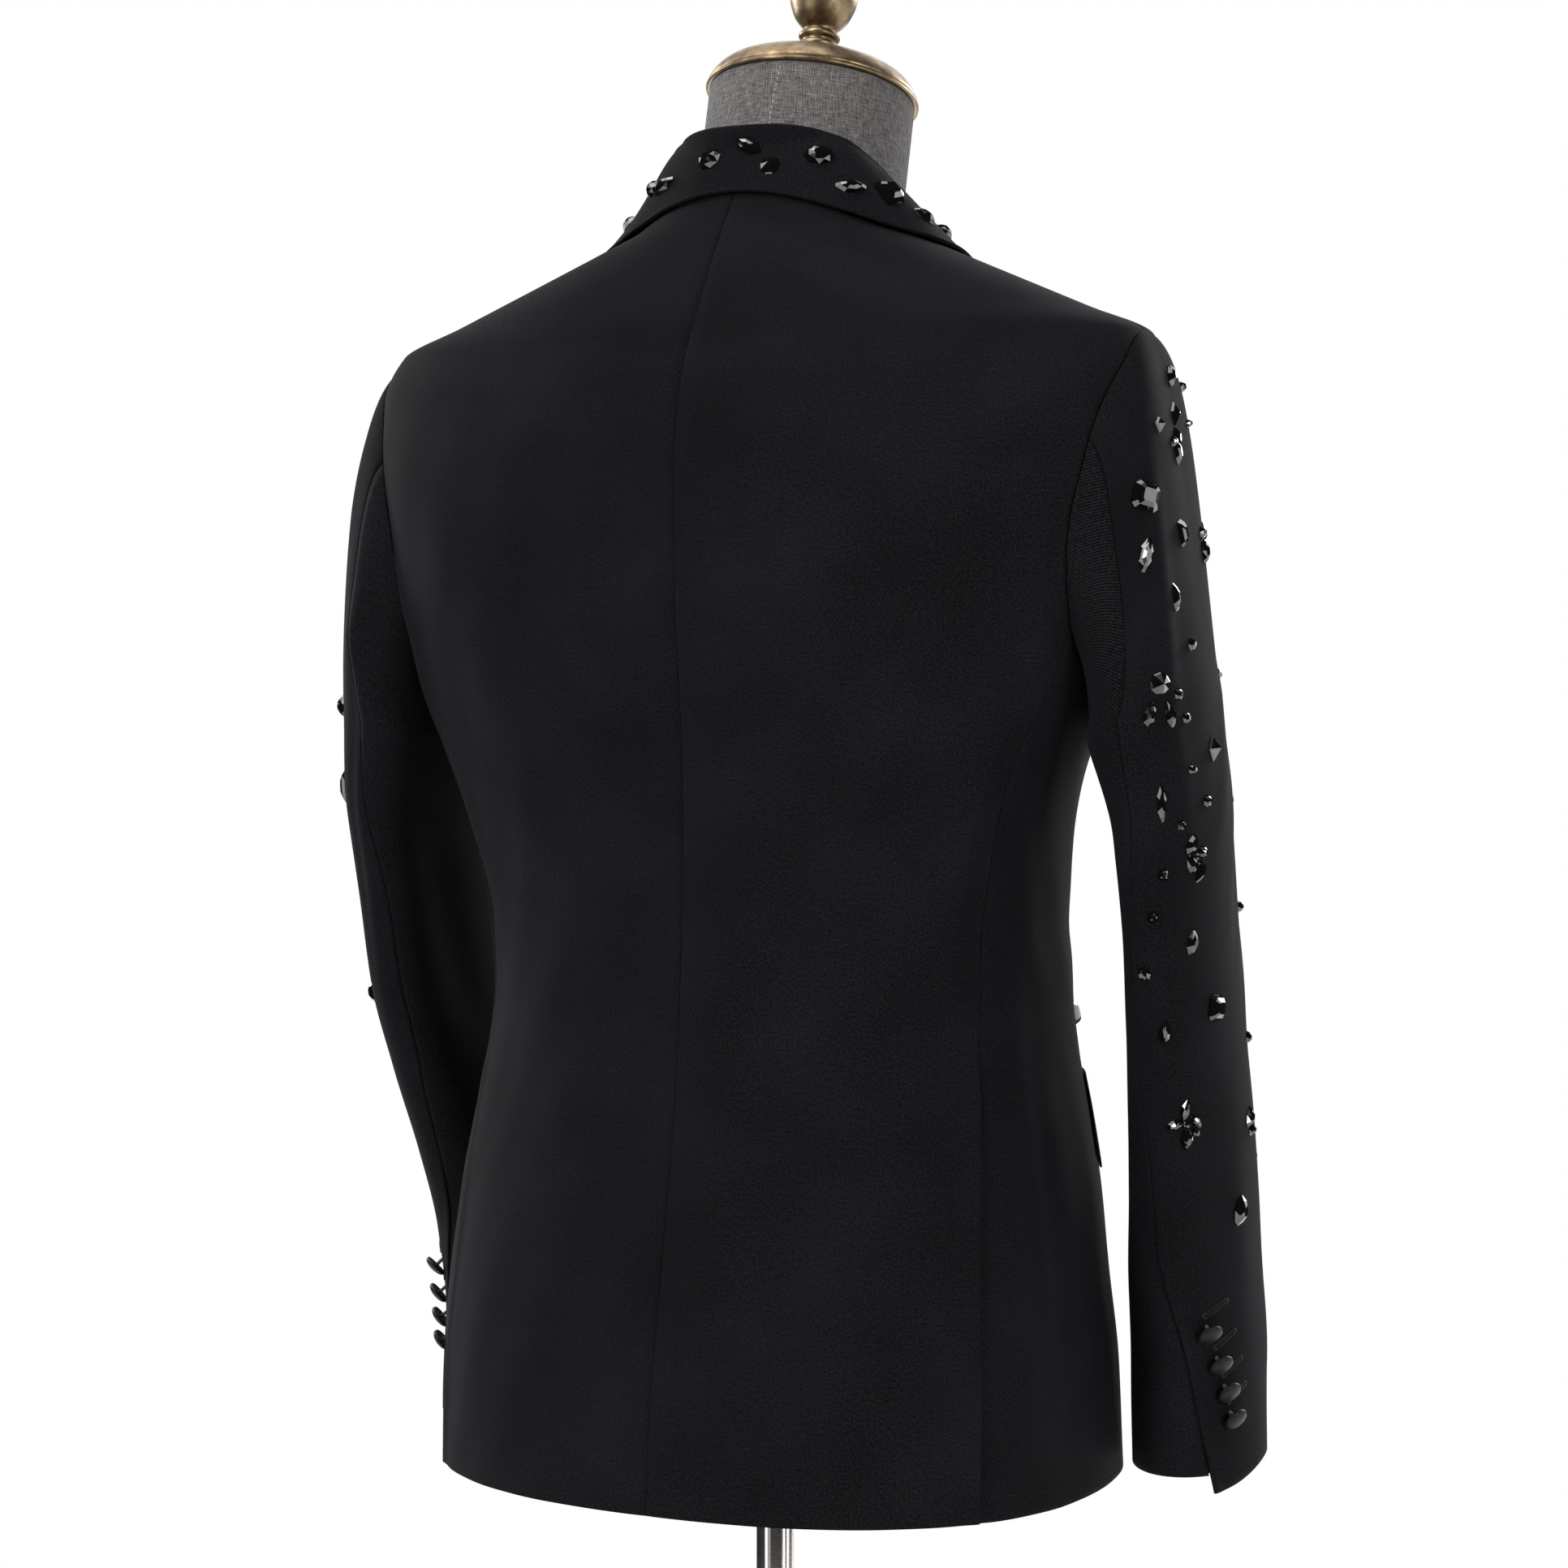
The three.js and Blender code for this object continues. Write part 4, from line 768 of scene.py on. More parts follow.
def leafGrid(columns=210, rows=22):
    flat = leafPoint(evenly(columns)[None, :], evenly(rows)[:, None])
    outwards = awayFromNeck(flat[-1:])
    turns = np.radians(np.linspace(20, 165, 8))[:, None, None]
    over = outwards * (np.cos(turns) - 1) + np.array([0, 0, 1]) * np.sin(turns)
    return np.concatenate([flat, flat[-1:] + collar["rollRadius"] * over], axis=0)


def standGrid(columns=150, rows=14):
    stations = collarStations[: collar["standReach"] + 1]
    feet = []
    for foot in (s["foot"] for s in stations):
        if "x" in foot:
            feet.append(bodyPoint(frontAngle(foot["x"], foot["z"]), foot["z"]))
        else:
            angle = max(foot["angle"], 0.01)
            feet.append(bodyPoint(angle, neckSeam(angle)))
    u, v = evenly(columns)[None, :], evenly(rows)[:, None]
    foot = throughPoints(bothSides(feet), u + 0 * v)
    roll = throughPoints(bothSides([s["roll"] for s in stations]), u + 0 * v)
    roll[..., 2] -= collar["standDrop"]
    outwards = awayFromNeck(roll)
    return mix(foot - outwards * collar["footInset"], roll - outwards * collar["standInset"], v[..., None])


# Sleeves: the angle runs round from the outside to the back, and the way from 0 at the armhole over 1 at
# the first full section to 2 at the cuff.
sleeve = {
    "turn": 6.0,
    "cuff": 729.0,
    "capEnd": 1140.0,
    "foreSeam": -118.0,
    "seamAngle": 0.2,
    "ventTip": 10.0,  # the upper sleeve's corner hangs lower by this
    "ventTurn": 4.0,  # degrees that the corner is cut back
    "ventLap": 1.5,
    "ventLapWidth": 6.0,
}
sleeveCreases = [  # from angle and way to angle and way, width in degrees of about a mm, rise in mm
    ((48, 0.1), (48, 1.28), 10, 2.8),  # the ridge that catches the light
    ((128, 0.85), (128, 1.8), 22, 3.4),
    ((86, 0.7), (80, 1.5), 13, -2.4),
    ((104, 0.35), (70, 0.95), 9, 1.8),  # wedge under the back of the arm
    ((-40, 0.9), (20, 1.2), 9, 1.3),  # bend of the elbow
    ((-60, 1.0), (0, 1.34), 9, -1.2),
    ((-75, 1.15), (-20, 1.45), 10, 1.4),
    ((20, 1.45), (26, 1.95), 16, 1.2),
    ((-30, 1.5), (-34, 1.98), 18, 1.3),
    ((150, 1.1), (170, 1.5), 14, -1.8),
]


def sleeveSection(angle, z):
    out = sleeveRing["half"](z) * np.cos(np.radians(angle))
    back = sleeveRing["depth"](z) * np.sin(np.radians(angle))
    turn = math.radians(sleeve["turn"])
    x = sleeveRing["x"](z) + out * math.cos(turn) + back * math.sin(turn)
    y = sleeveRing["y"](z) + back * math.cos(turn) - out * math.sin(turn)
    return np.stack([x, y, z + sleeveRing["rise"](z) * np.cos(np.radians(angle))], -1)


def armholePoint(angle):
    sine = np.sin(np.radians(angle))
    half = np.where(sine > 0, jacket["armholeBackHalf"], jacket["armholeFrontHalf"])
    z = armholeCentre + armholeRise * np.cos(np.radians(angle))
    return bodyPoint(jacket["armholeMiddle"] - half * sine, z)


def plainSleeve(angle, way):
    # The head is a curve from the armhole to the first full section, fuller at the crown and at the back.
    angle, way = paired(angle, way)
    low = sleeveSection(angle, mix(sleeve["capEnd"], sleeve["cuff"], np.maximum(way, 1) - 1))
    cosine, sine = np.cos(np.radians(angle)), np.sin(np.radians(angle))
    behind, crown = np.maximum(sine, 0), np.maximum(cosine, 0)
    start = armholePoint(angle) + (0.4, 0, 0)
    end = sleeveSection(angle, np.full_like(angle, sleeve["capEnd"]))
    reach = 46 + 37 * cosine
    first = start + np.stack([6.5 + 7.5 * cosine + 9 * behind, 3 * behind, -8 - 6 * sine**2], -1)
    second = end + np.stack([5 * behind - 0.15 * reach * crown, 2 * behind, reach], -1)
    t = np.clip(way, 0, 1)[..., None]
    head = (1 - t) ** 3 * start + 3 * (1 - t) ** 2 * t * first + 3 * (1 - t) * t**2 * second + t**3 * end
    return np.where((way >= 1)[..., None], low, head)


def sleeveCrease(angle, way):
    total = np.zeros(np.broadcast(angle, way).shape)
    for (a0, w0), (a1, w1), width, rise in sleeveCreases:
        share = (way - w0) / (w1 - w0)
        aside = (angle - mix(a0, a1, np.clip(share, -0.1, 1.1)) + 180) % 360 - 180
        total = total + rise * between(share, (-0.05, 0.35), (0.6, 1.05)) * swell(aside, width)
    return total


def sleevePoint(angle, way, height=0.0, step=0.01):
    angle, way = paired(angle, way)
    at = np.maximum(way, step)
    across = plainSleeve(angle + 1, at) - plainSleeve(angle - 1, at)
    up = plainSleeve(angle, at - step) - plainSleeve(angle, at + step)
    # Seen from above, the angle of the sleeve runs the other way round from the body's.
    normal = unit(np.cross(across, up))
    return plainSleeve(angle, way) + normal * np.asarray(height + sleeveCrease(angle, way))[..., None]


def armholeAt(z):
    return math.degrees(math.acos((z - armholeCentre) / armholeRise))


hindStart, foreStart = armholeAt(1284), -armholeAt(1220)  # heights where the seams meet the armhole


def seamAngles(way):
    settled = smooth(way, 0, 0.5)
    return mix(hindStart, hindAngle(way), settled), mix(foreStart, sleeve["foreSeam"], settled)


def sleeveWays(rows=215, closer=1.03):
    return 2 * evenly(rows) ** closer  # a little closer together at the armhole


def upperGrid(columns=76):
    way, share = sleeveWays()[:, None], evenly(columns)[None, :]
    hind, fore = seamAngles(way)
    atCuff = smooth(way, 1.93, 2)
    start = fore + sleeve["seamAngle"]
    end = hind - sleeve["seamAngle"] - sleeve["ventTurn"] * atCuff
    angle = mix(start, end, share)
    lap = sleeve["ventLap"] * smooth(way, 1.62, 1.72) * swell(end - angle, sleeve["ventLapWidth"])
    points = sleevePoint(angle, way + 0 * angle, lap)
    points[..., 2] -= sleeve["ventTip"] * smooth(share, 0.6, 1.02) * atCuff
    return points[::-1, ::-1]


def underGrid(columns=36):
    way, share = sleeveWays()[:, None], evenly(columns)[None, :]
    hind, fore = seamAngles(way)
    angle = mix(hind + sleeve["seamAngle"], 360 + fore - sleeve["seamAngle"], share)
    return sleevePoint(angle, way + 0 * angle)[::-1, ::-1]


underlap = {"top": 1.73, "end": 1.998, "under": 18.0, "beyond": 5.0, "depth": 2.4}


def underlapGrid():
    # The vent's underlap: a strip of the under sleeve that lies behind the upper sleeve's edge.
    way = mix(underlap["top"], underlap["end"], evenly(30))[:, None]
    angle = mix(hindAngle(way) - underlap["under"], hindAngle(way) + underlap["beyond"], evenly(10)[None, :])
    return sleevePoint(angle, way + 0 * angle, -underlap["depth"])[::-1, ::-1]


print("collar and sleeve surfaces ready")


# Cloth pieces: a thin shell with its edges turned, the outside from the grid, the lining inside.
def gridNormals(grid):
    across, up = np.gradient(grid, axis=1), np.gradient(grid, axis=0)
    return unit(np.cross(up, across))


def edgesPulled(grid, amount=0.15):
    # The outermost points move in a little, so that a turned edge looks round.
    pulled = grid.copy()
    for axis in (0, 1):
        lines, moved = np.moveaxis(grid, axis, 0), np.moveaxis(pulled, axis, 0)
        for last, inner in ((0, 1), (-1, -2)):
            inwards = lines[inner] - lines[last]
            length = np.linalg.norm(inwards, axis=-1, keepdims=True)
            moved[last] += inwards / np.maximum(length, 1e-6) * np.minimum(amount, 0.45 * length)
    return pulled


def clothUv(grid, mirrored):
    middle = grid.shape[1] // 2
    across = np.linalg.norm(np.diff(grid, axis=1), axis=-1)
    u = np.concatenate([np.zeros((grid.shape[0], 1)), np.cumsum(across, axis=1)], axis=1)
    u -= u[:, middle : middle + 1]
    rise = np.linalg.norm(np.diff(grid[:, middle], axis=0), axis=-1)
    v = np.concatenate([[0], np.cumsum(rise)])[:, None] + 0 * u
    return np.stack([u * (-1 if mirrored else 1), v], -1) * mm


def meshObject(name, points, faces, materials, uv=None, materialOf=None, smoothed=True):
    mesh = bpy.data.meshes.new(name)
    mesh.from_pydata((np.asarray(points) * mm).tolist(), [], faces)
    for material in materials:
        mesh.materials.append(material)
    if materialOf is not None:
        mesh.polygons.foreach_set("material_index", np.asarray(materialOf, np.int32))
    mesh.polygons.foreach_set("use_smooth", np.full(len(mesh.polygons), smoothed))
    if uv is not None:
        corner = np.empty(len(mesh.loops), np.int32)
        mesh.loops.foreach_get("vertex_index", corner)
        mesh.uv_layers.new(name="clothUv").data.foreach_set("uv", np.asarray(uv)[corner].ravel())
    mesh.update()
    made = bpy.data.objects.new(name, mesh)
    bpy.context.collection.objects.link(made)
    return made


def register(made, node=None):
    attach(made, "root")
    if node:
        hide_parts(node)
    return made


def clothPiece(name, node, grid, mirrored=False, thick=jacket["cloth"]):
    rows, columns = grid.shape[:2]
    normals = gridNormals(grid)
    outer = edgesPulled(grid)
    inner = outer - normals * thick
    index = np.arange(rows * columns).reshape(rows, columns)
    loop = np.concatenate([index[0, :-1], index[:-1, -1], index[-1, :0:-1], index[:0:-1, 0]])
    flatGrid, flatNormals = grid.reshape(-1, 3), normals.reshape(-1, 3)
    rings = [flatGrid[loop] - flatNormals[loop] * depth * thick for depth in (0.27, 0.73)]
    points = np.concatenate([outer.reshape(-1, 3), inner.reshape(-1, 3), *rings])
    count, rim = rows * columns, len(loop)
    a, b = index[:-1, :-1].ravel(), index[:-1, 1:].ravel()
    d, c = index[1:, :-1].ravel(), index[1:, 1:].ravel()
    faces = [np.stack([a, d, c, b], -1), np.stack([a, b, c, d], -1) + count]
    layers = [loop, 2 * count + np.arange(rim), 2 * count + rim + np.arange(rim), loop + count]
    for upper, lower in zip(layers[:-1], layers[1:]):
        faces.append(np.stack([upper, np.roll(upper, -1), np.roll(lower, -1), lower], -1))
    materialOf = np.zeros(sum(len(f) for f in faces), np.int32)
    materialOf[len(faces[0]) : 2 * len(faces[0])] = 1
    faces = np.concatenate(faces)
    flatUv = clothUv(grid, mirrored).reshape(-1, 2)
    uv = np.concatenate([flatUv, flatUv, flatUv[loop], flatUv[loop]])
    if mirrored:
        points = points * (-1, 1, 1)
        faces = faces[:, ::-1]
    made = register(meshObject(name, points, faces.tolist(), [wool, lining], uv, materialOf), node)


for side, mirrored in (("left", False), ("right", True)):
    lapped = side == "left"
    back, front, under = f"backPanel_{side}", f"frontPanel_{side}", f"underSleeve_{side}"
    clothPiece(back, f"back_{side}", backGrid(), mirrored)
    clothPiece(f"sidePanel_{side}", f"side_{side}", sideGrid(), mirrored)
    clothPiece(front, f"front_{side}", frontGrid(lapped), mirrored)
    clothPiece(f"peakLapel_{side}", f"lapel_{side}", lapelGrid(lapped), mirrored)
    clothPiece(f"pocketFlap_{side}", f"pocket_flap_{side}", flapGrid(lapped), mirrored,
               thick=pocketFlap["cloth"])
    clothPiece(f"upperSleeve_{side}", f"sleeve_upper_{side}", upperGrid(), mirrored)
    clothPiece(under, f"sleeve_under_{side}", underGrid(), mirrored)
    clothPiece(f"ventUnderlap_{side}", None, underlapGrid(), mirrored)
clothPiece("collarLeaf", "collar_leaf", leafGrid())
clothPiece("collarStand", "collar_stand", standGrid())
print("cloth pieces made")


# Stones. Each cut is modelled once, a unit long and wide, and every sewn stone is a copy of it.
def freshStart():
    if bpy.context.object and bpy.context.object.mode != "OBJECT":
        bpy.ops.object.mode_set(mode="OBJECT")
    bpy.ops.object.select_all(action="DESELECT")


# Corners, turn of the first, shares at crown and table, heights of girdle, crown and top, and twist.
stoneCuts = {
    "round": (8, 0, 0.72, 0.36, (0.3, 0.72, 1.0), 22.5),
    "square": (8, 22.5, 0.76, 0.46, (0.3, 0.74, 1.0), 0),
    "pyramid": (5, 40, 0.9, 0.05, (0.26, 0.4, 1.0), 0),
    "cone": (9, 0, 0.88, 0.04, (0.24, 0.36, 1.0), 0),
    "kite": (4, 0, 0.8, 0.1, (0.25, 0.5, 1.0), 0),
    "navette": (8, 22.5, 0.68, 0.34, (0.3, 0.72, 1.0), 0),
    "pear": (8, 0, 0.7, 0.34, (0.3, 0.72, 1.0), 0),
}


def outlinePoint(cutName, x, y):
    # The outline of each cut, from a circle one unit across.
    if cutName == "square":  # the eight corners gather in pairs at the four corners of a square
        turn, reach = math.degrees(math.atan2(y, x)), math.hypot(x, y)
        diagonal = 45 + 90 * math.floor(turn / 90)
        turn = math.radians(diagonal + (turn - diagonal) * 0.42)
        grow = reach / max(abs(math.cos(turn)), abs(math.sin(turn)))
        return grow * math.cos(turn), grow * math.sin(turn)
    if cutName == "navette":
        return x * (1 - 0.5 * min(1, abs(2 * y)) ** 2), y * 1.08
    if cutName == "pear":
        return x * (1 - 0.32 * (1 + 2 * y) ** 1.4 / 2), y
    return x, y


def modelCut(cutName):
    corners, first, crown, table, (girdle, shoulder, top), twist = stoneCuts[cutName]
    freshStart()
    bpy.ops.mesh.primitive_circle_add(vertices=corners, radius=0.5, fill_type="NGON",
                                      rotation=(0, 0, math.radians(first)))
    made = bpy.context.object
    bpy.ops.object.transform_apply(location=True, rotation=True, scale=True)
    bpy.ops.object.mode_set(mode="EDIT")
    bpy.ops.mesh.select_all(action="SELECT")
    bpy.ops.mesh.extrude_region_move(TRANSFORM_OT_translate={"value": (0, 0, girdle)})
    for share, rise in ((crown, shoulder - girdle), (table / crown, top - shoulder)):
        bpy.ops.mesh.extrude_region_move(TRANSFORM_OT_translate={"value": (0, 0, rise)})
        bpy.ops.transform.resize(value=(share, share, 1), center_override=(0, 0, 0))
        if twist:
            bpy.ops.transform.rotate(value=math.radians(twist), orient_axis="Z", center_override=(0, 0, 0))
    bpy.ops.mesh.select_all(action="SELECT")
    bpy.ops.mesh.normals_make_consistent(inside=False)
    bpy.ops.object.mode_set(mode="OBJECT")
    for vertex in made.data.vertices:
        vertex.co.x, vertex.co.y = outlinePoint(cutName, vertex.co.x, vertex.co.y)
    points = np.array([v.co for v in made.data.vertices])
    faces = [list(p.vertices) for p in made.data.polygons]
    bpy.data.objects.remove(made, do_unlink=True)
    return points, faces


cutModels = {name: modelCut(name) for name in stoneCuts}
print("stone cuts modelled")


def standingBasis(normal):
    # Axes to the right, up and out of the cloth.
    outwards = Vector(normal)
    upwards = (Vector((0, 0, 1)) - outwards * outwards.z).normalized()
    return Matrix((upwards.cross(outwards), upwards, outwards)).transposed()


def sewnStones(name, stones, place, mirrored=False):
    # Each row: two surface places, offsets right and up on the cloth in mm, cut, length, width, turn.
    sunk = 1.2  # mm of each stone that are in the cloth
    allPoints, allFaces = [], []
    for first, second, right, up, cutName, length, width, turn in stones:
        point, normal, aside, along = place(first, second)
        if right or up:
            point, normal, aside, along = place(first + right / aside, second + up / along)
        if mirrored:
            point, normal, turn = point * (-1, 1, 1), normal * (-1, 1, 1), -turn
        basis = standingBasis(normal) @ Matrix.Rotation(math.radians(turn), 3, "Z")
        high = 1.6 + 0.24 * min(length, width)
        points, faces = cutModels[cutName]
        local = points * (width, length, high + sunk) - (0, 0, sunk)
        world = local @ np.array(basis).T + point
        offset = sum(len(p) for p in allPoints)
        allPoints.append(world)
        allFaces += [[offset + i for i in face] for face in faces]
    register(meshObject(name, np.concatenate(allPoints), allFaces, [jet], smoothed=False))


sleeveStones = [  # angle, way, right, up, cut, length, width, turn
    (-6, 0.255, 0, 0, "pear", 13, 9, 20),
    (-28, 0.21, 0, 0, "round", 6, 6, 0),
    (0, 0.38, 0, 0, "kite", 14, 9, 15),
    (28, 0.37, 0, 0, "kite", 9, 8, 10),
    (-24, 0.36, 0, 0, "round", 5, 5, 0),
    (6, 0.46, 2, 3, "navette", 13, 7, 25),
    (6, 0.46, -1, -4, "navette", 15, 7, -8),
    (6, 0.46, -6, 2, "round", 6, 6, 0),
    (52, 0.47, 0, 0, "square", 15, 15, 15),
    (58, 0.605, 0, 0, "navette", 18, 9, 14),
    (18, 0.655, 0, 0, "square", 14, 8, -20),
    (-20, 0.665, 0, 5, "round", 7, 7, 0),
    (-20, 0.665, 0, -5, "pear", 14, 9, 180),
    (36, 0.77, 0, 0, "navette", 15, 6, -8),
    (22, 0.885, 0, 0, "round", 7, 6, 0),
    (56, 0.94, 0, 0, "cone", 12, 12, 0),
    (64, 1.005, 0, 0, "pear", 13, 9, 12),
    (50, 1.01, 0, 0, "navette", 14, 7, -14),
    (42, 0.98, 0, 0, "round", 7, 6, 0),
    (36, 1.019, 0, 0, "round", 7, 5, 0),
    (10, 1.058, 0, 0, "pyramid", 15, 12, 25),
    (38, 1.077, 0, 0, "round", 6, 6, 0),
    (68, 1.11, 0, 0, "navette", 19, 6, -4),
    (26, 1.115, 0, 0, "round", 7, 6, 0),
    (54, 1.139, 0, 0, "round", 6, 6, 0),
    (42, 1.182, -3, 9, "pear", 12, 8, 30),
    (42, 1.182, 7, 4, "round", 7, 7, 0),
    (42, 1.182, -4, -2, "pear", 11, 8, 160),
    (42, 1.182, 4, -6, "navette", 13, 7, 25),
    (42, 1.182, 0, 2, "round", 5, 5, 0),
    (72, 1.197, 0, 0, "round", 7, 6, 0),
    (88, 1.25, 0, 0, "round", 7, 6, 0),
    (50, 1.283, 0, 0, "navette", 13, 8, 10),
    (102, 1.322, 0, 0, "round", 8, 8, 0),
    (30, 1.37, 0, 0, "square", 14, 13, 5),
    (82, 1.398, 0, 0, "pear", 13, 8, 0),
    (-22, 1.422, 0, 0, "round", 7, 6, 0),
    (68, 1.523, 0, 9, "navette", 13, 6, 8),
    (68, 1.523, -6, 1, "pear", 10, 7, 60),
    (68, 1.523, 6, 2, "navette", 11, 6, -40),
    (68, 1.523, 5, -4, "round", 6, 6, 0),
    (68, 1.523, 0, -8, "pear", 13, 9, 180),
    (68, 1.523, 0, 1, "round", 5, 5, 0),
    (-2, 1.533, 0, 3, "pear", 12, 8, 20),
    (-2, 1.533, 3, -5, "round", 7, 7, 0),
    (22, 1.648, 0, 0, "round", 17, 12, 5),
    (-52, 0.55, 0, 0, "square", 13, 12, 20),
    (-64, 0.8, 0, 0, "navette", 16, 7, 10),
    (-46, 0.93, 0, 0, "round", 8, 8, 0),
    (-58, 1.115, 0, 0, "pear", 13, 8, -10),
    (-40, 1.25, 0, 0, "round", 7, 7, 0),
    (-66, 1.346, 0, 0, "kite", 14, 9, 10),
    (-50, 1.595, 0, 0, "pear", 13, 8, 0),
]


def placeOn(surface, first, second, steps):
    # The point, the normal, and how many mm one unit of either coordinate covers there.
    across = (surface(first + steps[0], second) - surface(first - steps[0], second)) / (2 * steps[0])
    up = (surface(first, second + steps[1]) - surface(first, second - steps[1])) / (2 * steps[1])
    return surface(first, second), unit(np.cross(across, up)), np.linalg.norm(across), np.linalg.norm(up)


def placeOnSleeve(angle, way):
    # Right on the right sleeve, seen from outside, is towards a smaller angle, and up towards a smaller way.
    point, normal, aside, along = placeOn(sleevePoint, angle, way, (1, 0.01))
    return point, -normal, -aside, -along


collarStones = [  # station from the centre back, share up the leaf, then as above
    (-3.1, 0.5, 0, 0, "square", 16, 15, 15),
    (-2.1, 0.35, 0, 0, "navette", 17, 9, 86),
    (-1.5, 0.66, 0, 0, "round", 12, 17, 0),
    (-0.7, 0.4, 0, 0, "cone", 11, 12, 0),
    (-0.22, 0.7, 0, 0, "navette", 18, 9, 60),
    (0.58, 0.55, 0, 0, "round", 12, 15, 20),
    (1.65, 0.4, 0, 0, "navette", 17, 9, 120),
    (2.1, 0.5, 0, 0, "round", 12, 9, 20),
    (3.6, 0.4, 0, 0, "round", 13, 12, 0),
    (-4.0, 0.35, 0, 0, "navette", 15, 9, 40),
    (-4.7, 0.45, 0, 0, "pear", 12, 8, 30),
    (4.5, 0.5, 0, 0, "square", 12, 12, 20),
    (5.4, 0.4, 0, 0, "pear", 14, 9, 150),
    (-5.5, 0.5, 0, 0, "round", 12, 12, 0),
    (6.4, 0.6, 0, 0, "round", 8, 8, 0),
    (-6.5, 0.4, 0, 0, "navette", 15, 8, 30),
    (7.3, 0.5, 0, 0, "navette", 16, 8, -30),
    (-7.4, 0.55, 0, 0, "round", 8, 8, 0),
]


def placeOnLeaf(along, up):
    reach = len(collarStations) - 1

    def onLeaf(station, share):
        return leafPoint(np.array([(station + reach) / (2 * reach)]), np.array([share]))[0]

    point, normal, *covers = placeOn(onLeaf, along, up, (0.02, 0.02))
    return point, -normal, *covers


lapelStones = [  # share across from the roll line, share up, then as above
    (0.5, 0.62, 0, 0, "pear", 16, 10, 10),
    (0.3, 0.8, 0, 0, "round", 12, 12, 0),
    (0.62, 0.86, 0, 0, "square", 13, 13, 20),
    (0.72, 0.7, 0, 0, "round", 7, 7, 0),
    (0.45, 0.93, 0, 0, "navette", 14, 7, 50),
    (0.85, 0.93, 0, 0, "kite", 11, 8, 10),
    (0.25, 0.67, 0, 0, "round", 6, 6, 0),
]


def placeOnLapel(lapped):
    def onLapel(across, share):
        return lapelPoint(across, share, lapped)

    return lambda across, share: placeOn(onLapel, across, share, (0.01, 0.01))


def placeOnBody(angle, z):
    return raisedBody(angle, z), bodyNormal(angle, z), jacket["arc"], 1.0


# The left sleeve has its stones further to the front, and two small ones at its back are left off.
leftStoneTurn = 46
leftOutline = {(64, 1.005): 49, (68, 1.11): 51, (82, 1.398): 51}  # three stay where they show from the back
leftSleeveStones = [(leftOutline.get((angle, way), angle - leftStoneTurn), way, *stone)
                    for angle, way, *stone in sleeveStones if -40 < angle < 86]
hipStones = [(121, 972, 0, 0, "square", 14, 12, 20), (128, 986, 0, 0, "round", 7, 7, 0)]
for side, mirrored in (("left", False), ("right", True)):
    onThisSleeve = sleeveStones if mirrored else leftSleeveStones
    sewnStones(f"sleeveStones_{side}", onThisSleeve, placeOnSleeve, mirrored)
    sewnStones(f"lapelStones_{side}", lapelStones, placeOnLapel(side == "left"), mirrored)
    sewnStones(f"hipStones_{side}", hipStones, placeOnBody, mirrored)
sewnStones("collarStones", collarStones, placeOnLeaf)
print("stones sewn on")


# Buttons: satin over a domed mould, on a shank of wound thread.
def joinPieces(name, pieces):
    freshStart()
    for piece in pieces:
        piece.select_set(True)
    bpy.context.view_layer.objects.active = pieces[0]
    bpy.ops.object.transform_apply(location=True, rotation=True, scale=True)
    bpy.ops.object.join()
    pieces[0].name = pieces[0].data.name = name
    return pieces[0]


def modelButton(button):
    radius, dome, shank = button["radius"] * mm, button["dome"] * mm, button["shank"] * mm
    cut, turnIn, hollow = 0.35, 0.16, 0.14  # shares of the radius: lower cut, satin turned in, its hollow
    freshStart()
    bpy.ops.mesh.primitive_uv_sphere_add(segments=36, ring_count=18, radius=1)
    cover = bpy.context.object
    bpy.ops.object.mode_set(mode="EDIT")
    bpy.ops.mesh.select_all(action="SELECT")
    bpy.ops.mesh.bisect(plane_co=(0, 0, -cut), plane_no=(0, 0, 1), use_fill=True, clear_inner=True)
    bpy.ops.mesh.inset(thickness=turnIn)
    bpy.ops.transform.translate(value=(0, 0, hollow))
    bpy.ops.mesh.select_all(action="SELECT")
    high = dome / (1 + cut)
    bpy.ops.transform.resize(value=(radius, radius, high), center_override=(0, 0, 0))
    bpy.ops.transform.translate(value=(0, 0, shank + cut * high))
    bpy.ops.object.mode_set(mode="OBJECT")
    bpy.ops.object.shade_smooth_by_angle(angle=math.radians(50))
    cover.data.materials.append(satin)
    pieces = [cover]
    turns = max(3, round(button["shank"] / 0.55))
    for i in range(turns):  # the shank's windings, one above the other
        bpy.ops.mesh.primitive_torus_add(
            major_segments=14, minor_segments=6, major_radius=button["foot"] * mm, minor_radius=0.00038,
            location=(0, 0, (i + 0.3) * shank / turns), rotation=(0.12 * (-1) ** i, 0, 0))
        winding = bpy.context.object
        winding.data.materials.append(paleThread)
        for polygon in winding.data.polygons:
            polygon.use_smooth = True
        pieces.append(winding)
    bpy.ops.mesh.primitive_cylinder_add(vertices=12, radius=button["foot"] * mm, depth=shank + 0.0012,
                                        location=(0, 0, shank / 2))
    core = bpy.context.object
    core.data.materials.append(paleThread)
    return joinPieces("buttonModel", [*pieces, core])


def placeButton(model, name, node, point, normal, droop=0.0):
    made = model.copy()
    made.data = model.data.copy()
    made.name = made.data.name = name
    bpy.context.collection.objects.link(made)
    basis = standingBasis(normal) @ Matrix.Rotation(math.radians(droop), 3, "X")
    made.data.transform(Matrix.Translation(Vector(point) * mm) @ basis.to_4x4())
    register(made, node)


